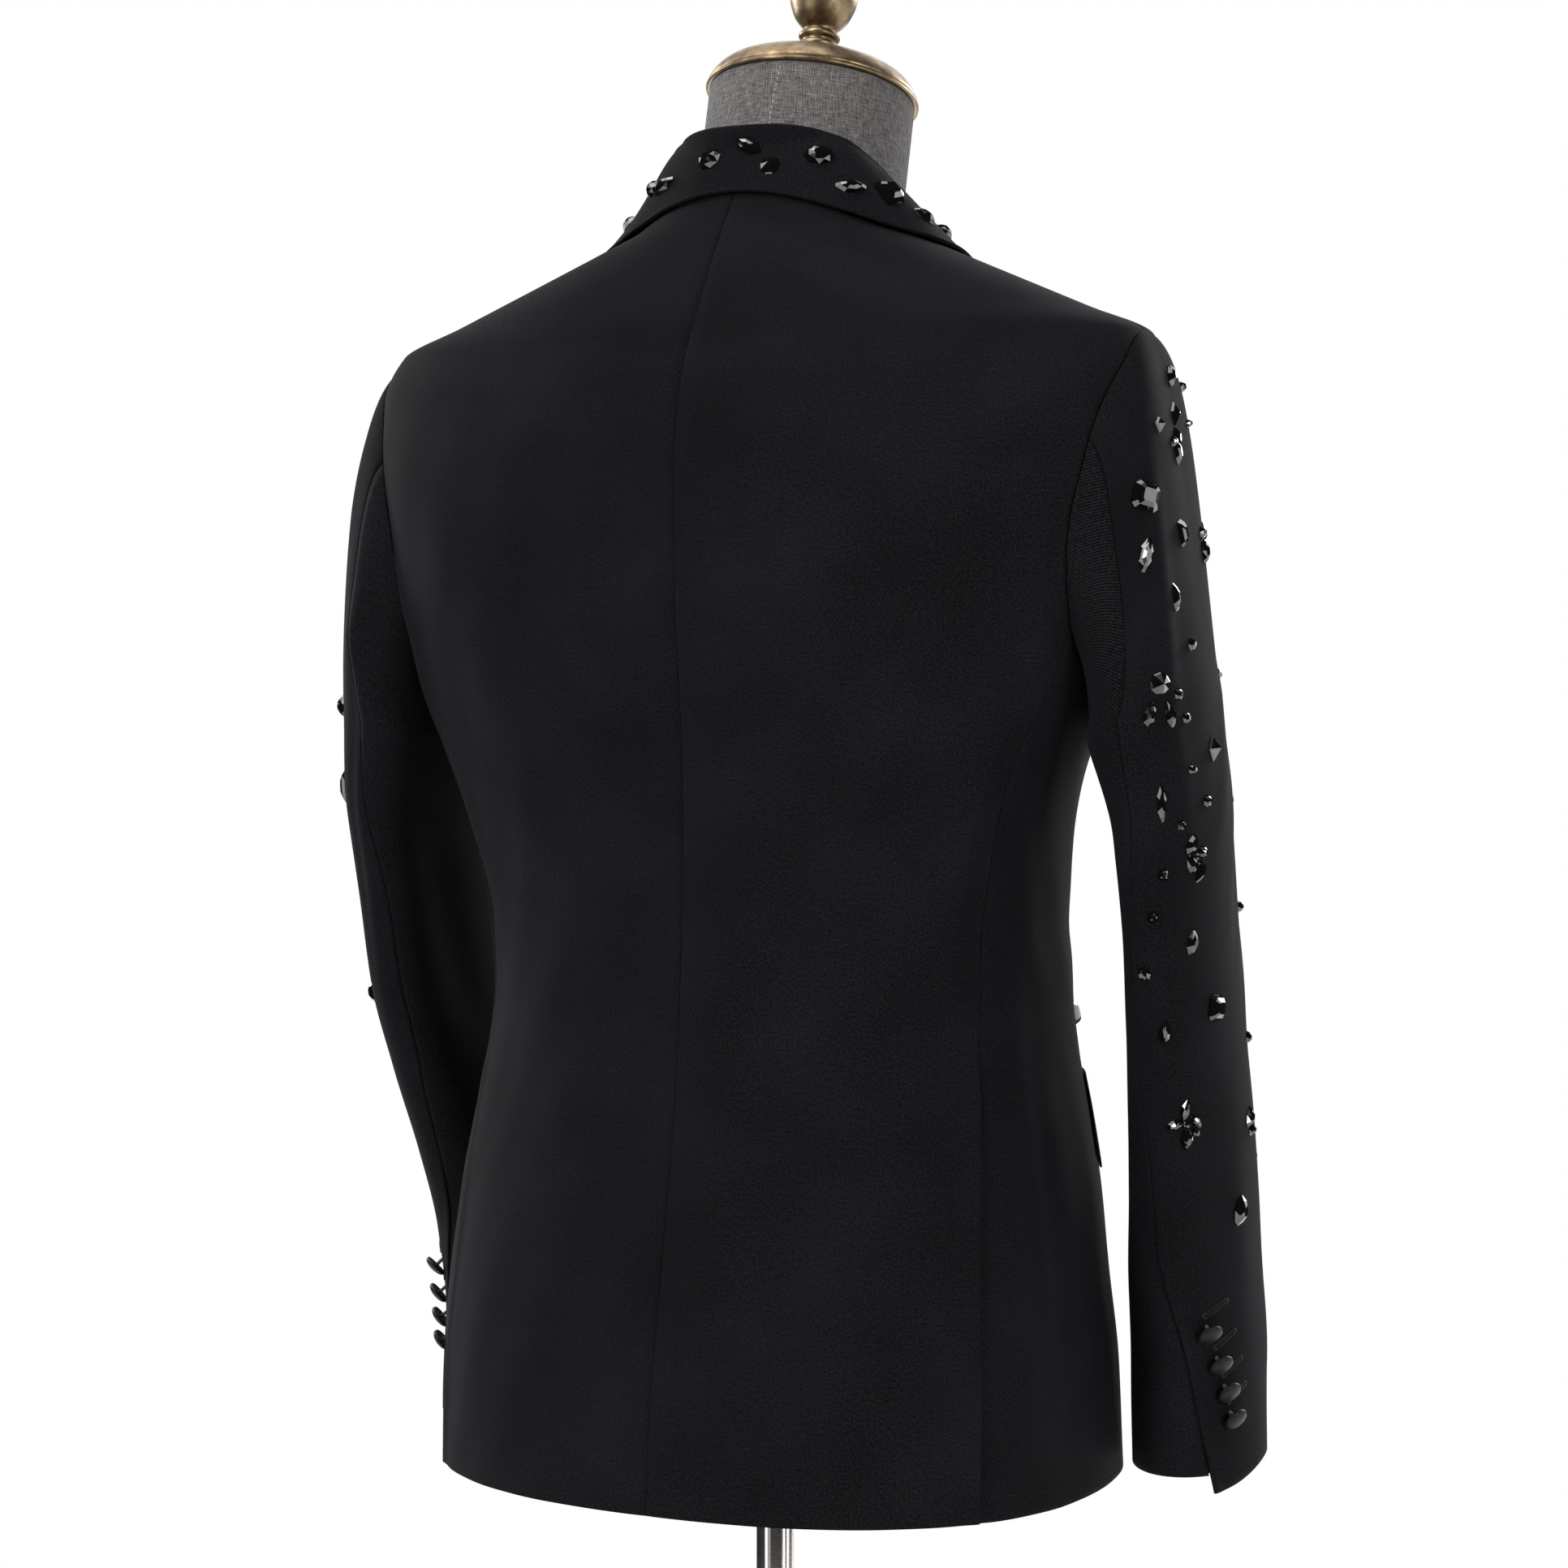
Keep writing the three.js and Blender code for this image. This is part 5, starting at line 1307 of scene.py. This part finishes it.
frontButton = {"radius": 11, "dome": 5, "shank": 2.4, "foot": 1.6}
cuffButton = {"radius": 7.2, "dome": 4.2, "shank": 4.4, "foot": 0.75, "droop": 38}
frontButtons = {"low": (60, 886), "waist": (60, 1004), "high": (96, 1124)}
cuffButtons = [(57, 1.8), (50, 1.844), (44, 1.883), (39, 1.92)]

model = modelButton(frontButton)
for name, (x, z) in frontButtons.items():
    for side, sign in (("left", 1), ("right", -1)):
        onLeftFront = sign * x > float(frontEdge(z))
        angle = frontAngle(sign * x, z)
        lift = float(lapHeight(sign * x, z)) if onLeftFront else 0.0
        placeButton(model, f"frontButton_{name}_{side}", f"button_{name}_{side}",
                    raisedBody(angle, z, lift), bodyNormal(angle, z))
bpy.data.objects.remove(model, do_unlink=True)
model = modelButton(cuffButton)
for side, sign in (("left", 1), ("right", -1)):
    for i, (angle, way) in enumerate(cuffButtons):
        point, normal, _, _ = placeOnSleeve(angle, way)
        placeButton(model, f"cuffButton_{side}_{i + 1}", f"cuff_button_{side}_{i + 1}",
                    point * (sign, 1, 1), normal * (sign, 1, 1), cuffButton["droop"])
bpy.data.objects.remove(model, do_unlink=True)
print("buttons placed")


# Threads: each stitch is a short arched tube with closed ends.
def threadTubes(name, paths, radius, material, sides=6, taper=0.45, offAxis=(0.31, 0.17, 0.93)):
    points, faces = [], []
    for path in paths:
        path = np.asarray(path, float)
        first = len(points)
        for i, point in enumerate(path):
            along = unit(path[min(i + 1, len(path) - 1)] - path[max(i - 1, 0)])
            aside = unit(np.cross(along, offAxis))
            third = np.cross(along, aside)
            r = radius * (taper if i in (0, len(path) - 1) else 1)
            for k in range(sides):
                turn = 2 * math.pi * k / sides
                points.append(point + r * (aside * math.cos(turn) + third * math.sin(turn)))
        for i in range(len(path) - 1):
            for k in range(sides):
                a, b = first + i * sides + k, first + i * sides + (k + 1) % sides
                faces.append([a, b, b + sides, a + sides])
        faces.append([first + k for k in range(sides)][::-1])
        last = first + (len(path) - 1) * sides
        faces.append([last + k for k in range(sides)])
    register(meshObject(name, points, faces, [material]))


def buttonholePaths(surface, length, width, stitches):
    # surface(x, y, height) gives a point of the cloth at mm along and across the hole.
    overEdge = ((0.15, 0.25), (width / 2, 0.45), (width, 0.1))  # across and height of a stitch's points
    eyelet = ((0.7, 0.9, 0.25), (1.5, 1.6, 0.4), (2.0, 2.1, 0.1))  # radii along and across, and height
    paths = []
    for i in range(stitches):
        x = length * (i + 0.5) / stitches
        for sign in (-1, 1):
            paths.append([surface(x, sign * y, height) for y, height in overEdge])
    for k in range(9):
        turn = math.radians(90 + 180 * k / 8)
        c, s = math.cos(turn), math.sin(turn)
        paths.append([surface(0.5 + long * c, wide * s, height) for long, wide, height in eyelet])
    paths.append([surface(length, -width, 0.15), surface(length + 0.3, 0, 0.5), surface(length, width, 0.15)])
    return paths


cuffHole = {"length": 17.5, "width": 1.8, "stitches": 14, "slope": 27.0}
for side, sign in (("left", 1), ("right", -1)):
    paths = []
    for angle, way in cuffButtons:
        start = (angle + 1, way - 0.014)
        _, _, aside, along = placeOnSleeve(*start)

        def onCuff(x, y, height):
            slope = math.radians(cuffHole["slope"])
            right = x * math.cos(slope) - y * math.sin(slope)
            up = x * math.sin(slope) + y * math.cos(slope)
            return sleevePoint(start[0] + right / aside, start[1] + up / along, height) * (sign, 1, 1)

        paths += buttonholePaths(onCuff, cuffHole["length"], cuffHole["width"], cuffHole["stitches"])
    threadTubes(f"cuffButtonholes_{side}", paths, 0.3, blackThread)

frontHole = {"length": 15.0, "width": 1.3, "stitches": 15}
paths = []
for x, z in ((-57, 886), (-57, 1004)):

    def onFront(along, up, height):
        return frontPoint(x - along, z + up, height, True)

    paths += buttonholePaths(onFront, frontHole["length"], frontHole["width"], frontHole["stitches"])
threadTubes("frontButtonholes", paths, 0.36, blackThread)
print("buttonholes stitched")


# Dress form: torso and neck in one skin of linen.
form = {
    "bottom": 790.0,
    "columns": 144,
    "neckRadius": 58.5,
    "neckTilt": 14.0,
    "neckTop": (0.0, -46.0, 1489.0),
    "front": 1.8,  # how much further the chest stands inside the jacket
    "edge": [(0, 3.0), (0.001, 1.2), (0.004, 0.3), (0.008, 0)],  # rounded lower edge: share up, mm turned in
    "aboveEdge": 0.014,
    "rows": {"torso": 120, "shoulders": 22, "neck": 24},
    "sweep": {"level": 0.62, "upright": 1.5},  # how the shoulders run up into the neck
    "neckEdge": 0.8,
}
formClearance = curveThrough([780, 1180, 1260, 1320, 1345, 1357, 1385, 1404],
                             [14, 13, 10, 6, 3.6, 3.4, 4.2, 6])
formTop = curveThrough([0, 90, 115, 140, 160, 180], [1404, 1403, 1397, 1380, 1358, 1345])  # by angle
neckFoot = curveThrough([0, 90, 140, 180], [60, 58, 84, 100])  # by angle, from the neck's top downwards
tilt = math.radians(form["neckTilt"])
neckAxis = np.array([0, -math.sin(tilt), math.cos(tilt)])  # leans forwards as it rises
neckBack = np.array([0, math.cos(tilt), math.sin(tilt)])
neckTop = np.array(form["neckTop"])


def neckPoint(angle, down, inset=0.0):
    turn, radius = np.radians(angle), form["neckRadius"] - inset
    aside = np.stack([np.sin(turn), 0 * turn, 0 * turn], -1)
    return neckTop - neckAxis * down[..., None] + radius * (aside + neckBack * np.cos(turn)[..., None])


def formGrid():
    # Torso rows, then rows that sweep into the neck, then the neck itself.
    rows, sweep, edge = form["rows"], form["sweep"], np.array(form["edge"])
    angle = evenly(form["columns"])[None, :] * 360
    folded = np.where(angle > 180, 360 - angle, angle)
    share = np.concatenate([edge[:, 0], np.linspace(form["aboveEdge"], 1, rows["torso"])])[:, None]
    z = mix(form["bottom"], formTop(folded), share)
    turnedIn = np.concatenate([edge[:, 1], np.zeros(rows["torso"])])[:, None]
    inset = formClearance(z) + turnedIn + form["front"] * smooth(folded, 88, 102)
    torso = bodyPoint(angle, z) - bodyNormal(angle, z) * inset[..., None]
    torso[0, :, 2] = form["bottom"]
    foot = neckPoint(angle, neckFoot(folded) + 0 * angle)[0]
    s = np.linspace(0, 1, rows["shoulders"])[1:-1, None, None]
    level = mix(torso[-1, :, :2], foot[:, :2], s ** sweep["level"])
    upright = mix(torso[-1, :, 2:], foot[:, 2:], s ** sweep["upright"])
    shoulders = np.concatenate([level, upright], -1)
    up = np.concatenate([np.linspace(0, 0.985, rows["neck"]), [1.0, 1.0]])[:, None]
    down = mix(neckFoot(folded), 0, up)
    neck = neckPoint(angle + 0 * down, down)
    neck[-1] = neckPoint(angle, 0 * angle, form["neckEdge"])[0]
    return np.concatenate([torso, shoulders, neck], axis=0)


def modelTorso():
    grid = formGrid()
    rows, columns = grid.shape[0], grid.shape[1] - 1
    faces, corners = [], []
    run = np.concatenate([[0], np.cumsum(np.linalg.norm(np.diff(grid, axis=0), axis=-1).mean(1))]) * mm
    around = np.linalg.norm(np.diff(grid, axis=1), axis=-1).sum(1) * mm
    for j in range(rows - 1):
        for i in range(columns):
            k = (i + 1) % columns
            faces.append([j * columns + i, (j + 1) * columns + i, (j + 1) * columns + k, j * columns + k])
            for row, column in ((j, i), (j + 1, i), (j + 1, i + 1), (j, i + 1)):
                corners.append(((column / columns - 0.5) * around[row], run[row]))
    for row, order in ((0, 1), (rows - 1, -1)):
        faces.append([row * columns + i for i in range(columns)][::order])
        corners += [(p[0] * mm, p[1] * mm) for p in grid[row, :-1][::order]]
    torso = meshObject("formTorso", grid[:, :-1].reshape(-1, 3), faces, [linen])
    torso.data.uv_layers.new(name="clothUv").data.foreach_set("uv", np.array(corners).ravel())
    return torso


torso = register(modelTorso(), "form_torso")
print("form torso made:", len(torso.data.polygons), "faces")

neckStitches = {"count": 26, "first": 3.0, "spacing": 3.3, "thread": 0.32, "lean": -0.16, "waver": 0.05}
seamPaths = []
for i in range(neckStitches["count"]):  # pale stitches down the centre back of the neck
    drop = neckStitches["first"] + i * neckStitches["spacing"]
    base = neckTop - neckAxis * drop
    radius = form["neckRadius"] + 0.15
    lean = neckStitches["waver"] * math.sin(drop / 22) + neckStitches["lean"]
    aside = np.array([math.sin(lean), math.cos(lean) * math.cos(tilt), math.cos(lean) * math.sin(tilt)])
    arch = ((0, radius - 0.3), (1.2, radius + 0.15), (2.5, radius - 0.3))  # down the neck, and out
    seamPaths.append([base - neckAxis * down + aside * out for down, out in arch])
threadTubes("formBackSeam", seamPaths, neckStitches["thread"], makeThread("ecruCottonThread", "#b5aea4", 0.6))


# Turned pieces: a profile drawn in edit mode and spun round its axis.
def markHollows(mesh, profile):
    # Tells the patina how far each turn of the profile lies in from those beside it.
    radii = np.array([r for r, _ in profile], float)
    around = np.convolve(np.pad(radii, 2, mode="edge"), [0.25, 0.25, 0, 0.25, 0.25], "valid")
    depth = {}
    for (r, h), deep in zip(profile, np.clip((around - radii) / 3.0, -0.3, 1)):
        depth[round(r, 2), round(h, 2)] = float(deep)
    layer = mesh.attributes.new("hollow", "FLOAT", "POINT")
    for vertex in mesh.vertices:
        key = (round(math.hypot(vertex.co.x, vertex.co.y) / mm, 2), round(vertex.co.z / mm, 2))
        layer.data[vertex.index].value = depth.get(key, 0.0)


def turnedPiece(name, slot, node, profile, material, steps, bevel=0.0, centre=(0, 0, 0), lean=0.0):
    freshStart()
    mesh = bpy.data.meshes.new(name)
    edges = [(i, i + 1) for i in range(len(profile) - 1)]
    mesh.from_pydata([(r * mm, 0, h * mm) for r, h in profile], edges, [])
    made = bpy.data.objects.new(name, mesh)
    bpy.context.collection.objects.link(made)
    made.select_set(True)
    bpy.context.view_layer.objects.active = made
    bpy.ops.object.mode_set(mode="EDIT")
    bpy.ops.mesh.select_all(action="SELECT")
    bpy.ops.mesh.spin(steps=steps, angle=2 * math.pi, center=(0, 0, 0), axis=(0, 0, 1))
    bpy.ops.mesh.select_all(action="SELECT")
    bpy.ops.mesh.remove_doubles(threshold=0.00001)
    bpy.ops.mesh.normals_make_consistent(inside=False)
    bpy.ops.object.mode_set(mode="OBJECT")
    mesh.materials.append(material)
    if slot == "brass":
        markHollows(mesh, profile)
    if bevel:
        edge = made.modifiers.new("softEdges", "BEVEL")
        edge.width, edge.segments = bevel * mm, 3
        edge.limit_method, edge.angle_limit = "ANGLE", math.radians(35)
        bpy.ops.object.modifier_apply(modifier=edge.name)
    bpy.ops.object.shade_smooth_by_angle(angle=math.radians(40))
    mesh.transform(Matrix.Translation(Vector(centre) * mm) @ Matrix.Rotation(lean, 4, "X"))
    register(made, node)


def roundedProfile(profile, steps=4):
    # A smooth line through the turned profile's points.
    points = np.asarray(profile, float)
    share = np.linspace(0, 1, (len(points) - 1) * steps + 1)
    fine = throughPoints(np.concatenate([points, np.zeros((len(points), 1))], 1), share)
    fine[:, 0] = np.maximum(fine[:, 0], 0)
    return [(float(r), float(h)) for r, h, _ in fine]


# Profiles: radius and height of each turn, in mm.
capProfile = [(0, 0.2), (59.6, 0), (60.5, 0.3), (60.8, 1.0), (60.6, 1.7), (60.0, 2.1), (59.8, 2.6),
              (60.0, 3.4), (59.6, 4.8), (57.4, 8.4), (53, 13), (46, 16.6), (38, 19.2), (30, 21.2), (20, 22.4),
              (14.5, 22.8), (13.4, 22.4), (0, 22.8)]
finialProfile = [(0, 0), (11.6, 0), (12.8, 0.6), (13.1, 1.6), (12.2, 2.8), (9.9, 3.8), (9.4, 5), (9.8, 6.2),
                 (11.7, 7), (12.2, 8.4), (11.7, 9.8), (9.6, 10.6), (9.3, 11.6), (9.8, 12.6), (11.4, 13.4),
                 (11.9, 14.8), (11.3, 16.2), (9.4, 17), (9.0, 18.2), (9.8, 19.6), (12.4, 22.2), (15.2, 25.6),
                 (17.4, 30.4), (18.9, 35), (19.4, 39.8), (19.0, 44.6), (17.5, 49.4), (14.9, 53.8),
                 (11.3, 57.4), (6.1, 60), (0, 60.8)]
baseProfile = [(0, 0), (146, 0), (150, 0.6), (150, 6.6), (147, 9.5), (140, 10.2), (60, 13), (30, 13.6),
               (0, 14)]
socketProfile = [(11.3, 14.3), (26.4, 14.3), (27, 14.8), (27, 17.2), (24, 18.6), (19.4, 21), (18.2, 26),
                 (17.4, 44), (17.6, 45.4), (16.8, 49.8), (15.4, 50.3), (11.3, 50.3), (11.3, 14.3)]
poleProfile = [(0, 14.3), (11, 14.3), (11, 60), (11, 427), (11, 429.2), (10.95, 429.8), (10.75, 430.1),
               (10.75, 431), (10.75, 440), (10.75, 789.2), (0, 789.2)]
turnedPiece("neckCap", "brass", "neck_cap",
            capProfile[:1] + roundedProfile(capProfile[1:-2]) + capProfile[-2:], brass, 128,
            centre=neckTop + neckAxis * 0.3, lean=tilt)
turnedPiece("finialKnob", "brass", "finial", finialProfile[:1] + roundedProfile(finialProfile[1:]), brass, 80,
            centre=neckTop + neckAxis * 23.8, lean=tilt)
turnedPiece("standBase", "chrome", "base", baseProfile, chrome, 160, bevel=0.8)
turnedPiece("poleSocket", "chrome", "pole_socket", socketProfile, chrome, 80, bevel=0.4)
turnedPiece("standPole", "chrome", "pole", poleProfile, chrome, 48)
print("form and stand finished")


# Studio: a pale floor with painted light (a glow of its own), soft boxes and a white surround.
def addStudio():
    studio = {
        "surround": 0.34,  # light from the white room
        "mirrored": 0.03,  # what polished facets see of it
        "panes": 3.4,  # how finely the room is divided into lit and dark panes
        "window": 2.6,  # strength of a lit pane
        "floor": 2.2,  # metres from the stand to the floor's edge
        "boxes": [  # place, size, watts
            ((1.3, 3.0, 2.7), 0.9, 52),
            ((-3.0, 1.6, 1.9), 0.8, 50),
            ((0.5, 0.9, 3.3), 1.3, 30),
            ((2.9, -0.4, 1.8), 0.8, 46),
            ((-0.8, -3.0, 2.2), 1.1, 44),
        ],
        "target": Vector((0, 0, 1.15)),
    }
    for i, (place, size, watts) in enumerate(studio["boxes"]):
        data = bpy.data.lights.new(f"softBox_{i + 1}", "AREA")
        data.shape, data.size, data.energy = "SQUARE", size, watts
        light = bpy.data.objects.new(data.name, data)
        bpy.context.collection.objects.link(light)
        light.location = place
        light.rotation_euler = (studio["target"] - Vector(place)).to_track_quat("-Z", "Y").to_euler()
    world = bpy.data.worlds.new("whiteRoom")
    world.use_nodes = True
    bpy.context.scene.world = world
    tree = world.node_tree
    ground = tree.nodes["Background"]
    ground.inputs["Color"].default_value = (1, 1, 1, 1)
    ray = addNode(tree, "ShaderNodeLightPath")
    way = addNode(tree, "ShaderNodeTexCoord").outputs["Generated"]
    panes = addNode(tree, "ShaderNodeTexVoronoi", {"feature": "F1"},
                    {"Scale": studio["panes"], "Randomness": 0.9}, {"Vector": way})
    pane = addNode(tree, "ShaderNodeSeparateColor", links={"Color": panes.outputs["Color"]})
    window = addNode(tree, "ShaderNodeMapRange",  # one pane in four is lit, the others stay dark
                     inputs={"From Min": 0.72, "From Max": 0.78, "To Min": studio["mirrored"],
                             "To Max": studio["window"]},
                     links={"Value": pane.outputs["Red"]})
    room = addNode(tree, "ShaderNodeMix", {"data_type": "FLOAT"}, {"A": studio["surround"]},
                   {"Factor": ray.outputs["Is Glossy Ray"], "B": window.outputs["Result"]})
    seen = addNode(tree, "ShaderNodeMath", {"operation": "MAXIMUM"},
                   links={0: room.outputs["Result"], 1: ray.outputs["Is Camera Ray"]})
    linkTo(tree, ground, {"Strength": seen.outputs["Value"]})
    bpy.ops.mesh.primitive_circle_add(vertices=96, radius=studio["floor"], fill_type="NGON",
                                      location=(0, 0, -0.0004))  # just under the base
    floor = bpy.context.object
    floor.name = floor.data.name = "studioFloor"
    # Painted light: the floor glows by its own emission in place of studio light on the paper, faintly near
    # the stand so that the stand's shadow still shows there
    material, tree, shader = newMaterial("paperSweepPaintedGlow", {
        "Base Color": hexColour("#ececec"),
        "Roughness": 0.9,
        "Emission Color": (1, 1, 1, 1),
    })
    place = addNode(tree, "ShaderNodeTexCoord").outputs["Object"]
    away = addNode(tree, "ShaderNodeVectorMath", {"operation": "LENGTH"}, links={0: place})
    paintedFloorGlow = addNode(tree, "ShaderNodeMapRange",  # painted light: the sweep glows by its own emission, faint by the stand and pure white away from it
                   inputs={"From Min": 0.3, "From Max": 1.9, "To Min": 0.1, "To Max": 1.0},
                   links={"Value": away.outputs["Value"]})
    linkTo(tree, shader, {"Emission Strength": paintedFloorGlow.outputs["Result"]})
    floor.data.materials.append(material)
    view = bpy.context.scene.view_settings
    view.view_transform, view.look, view.exposure, view.gamma = "Standard", "None", 0.0, 1.0


addStudio()
print("studio lit")
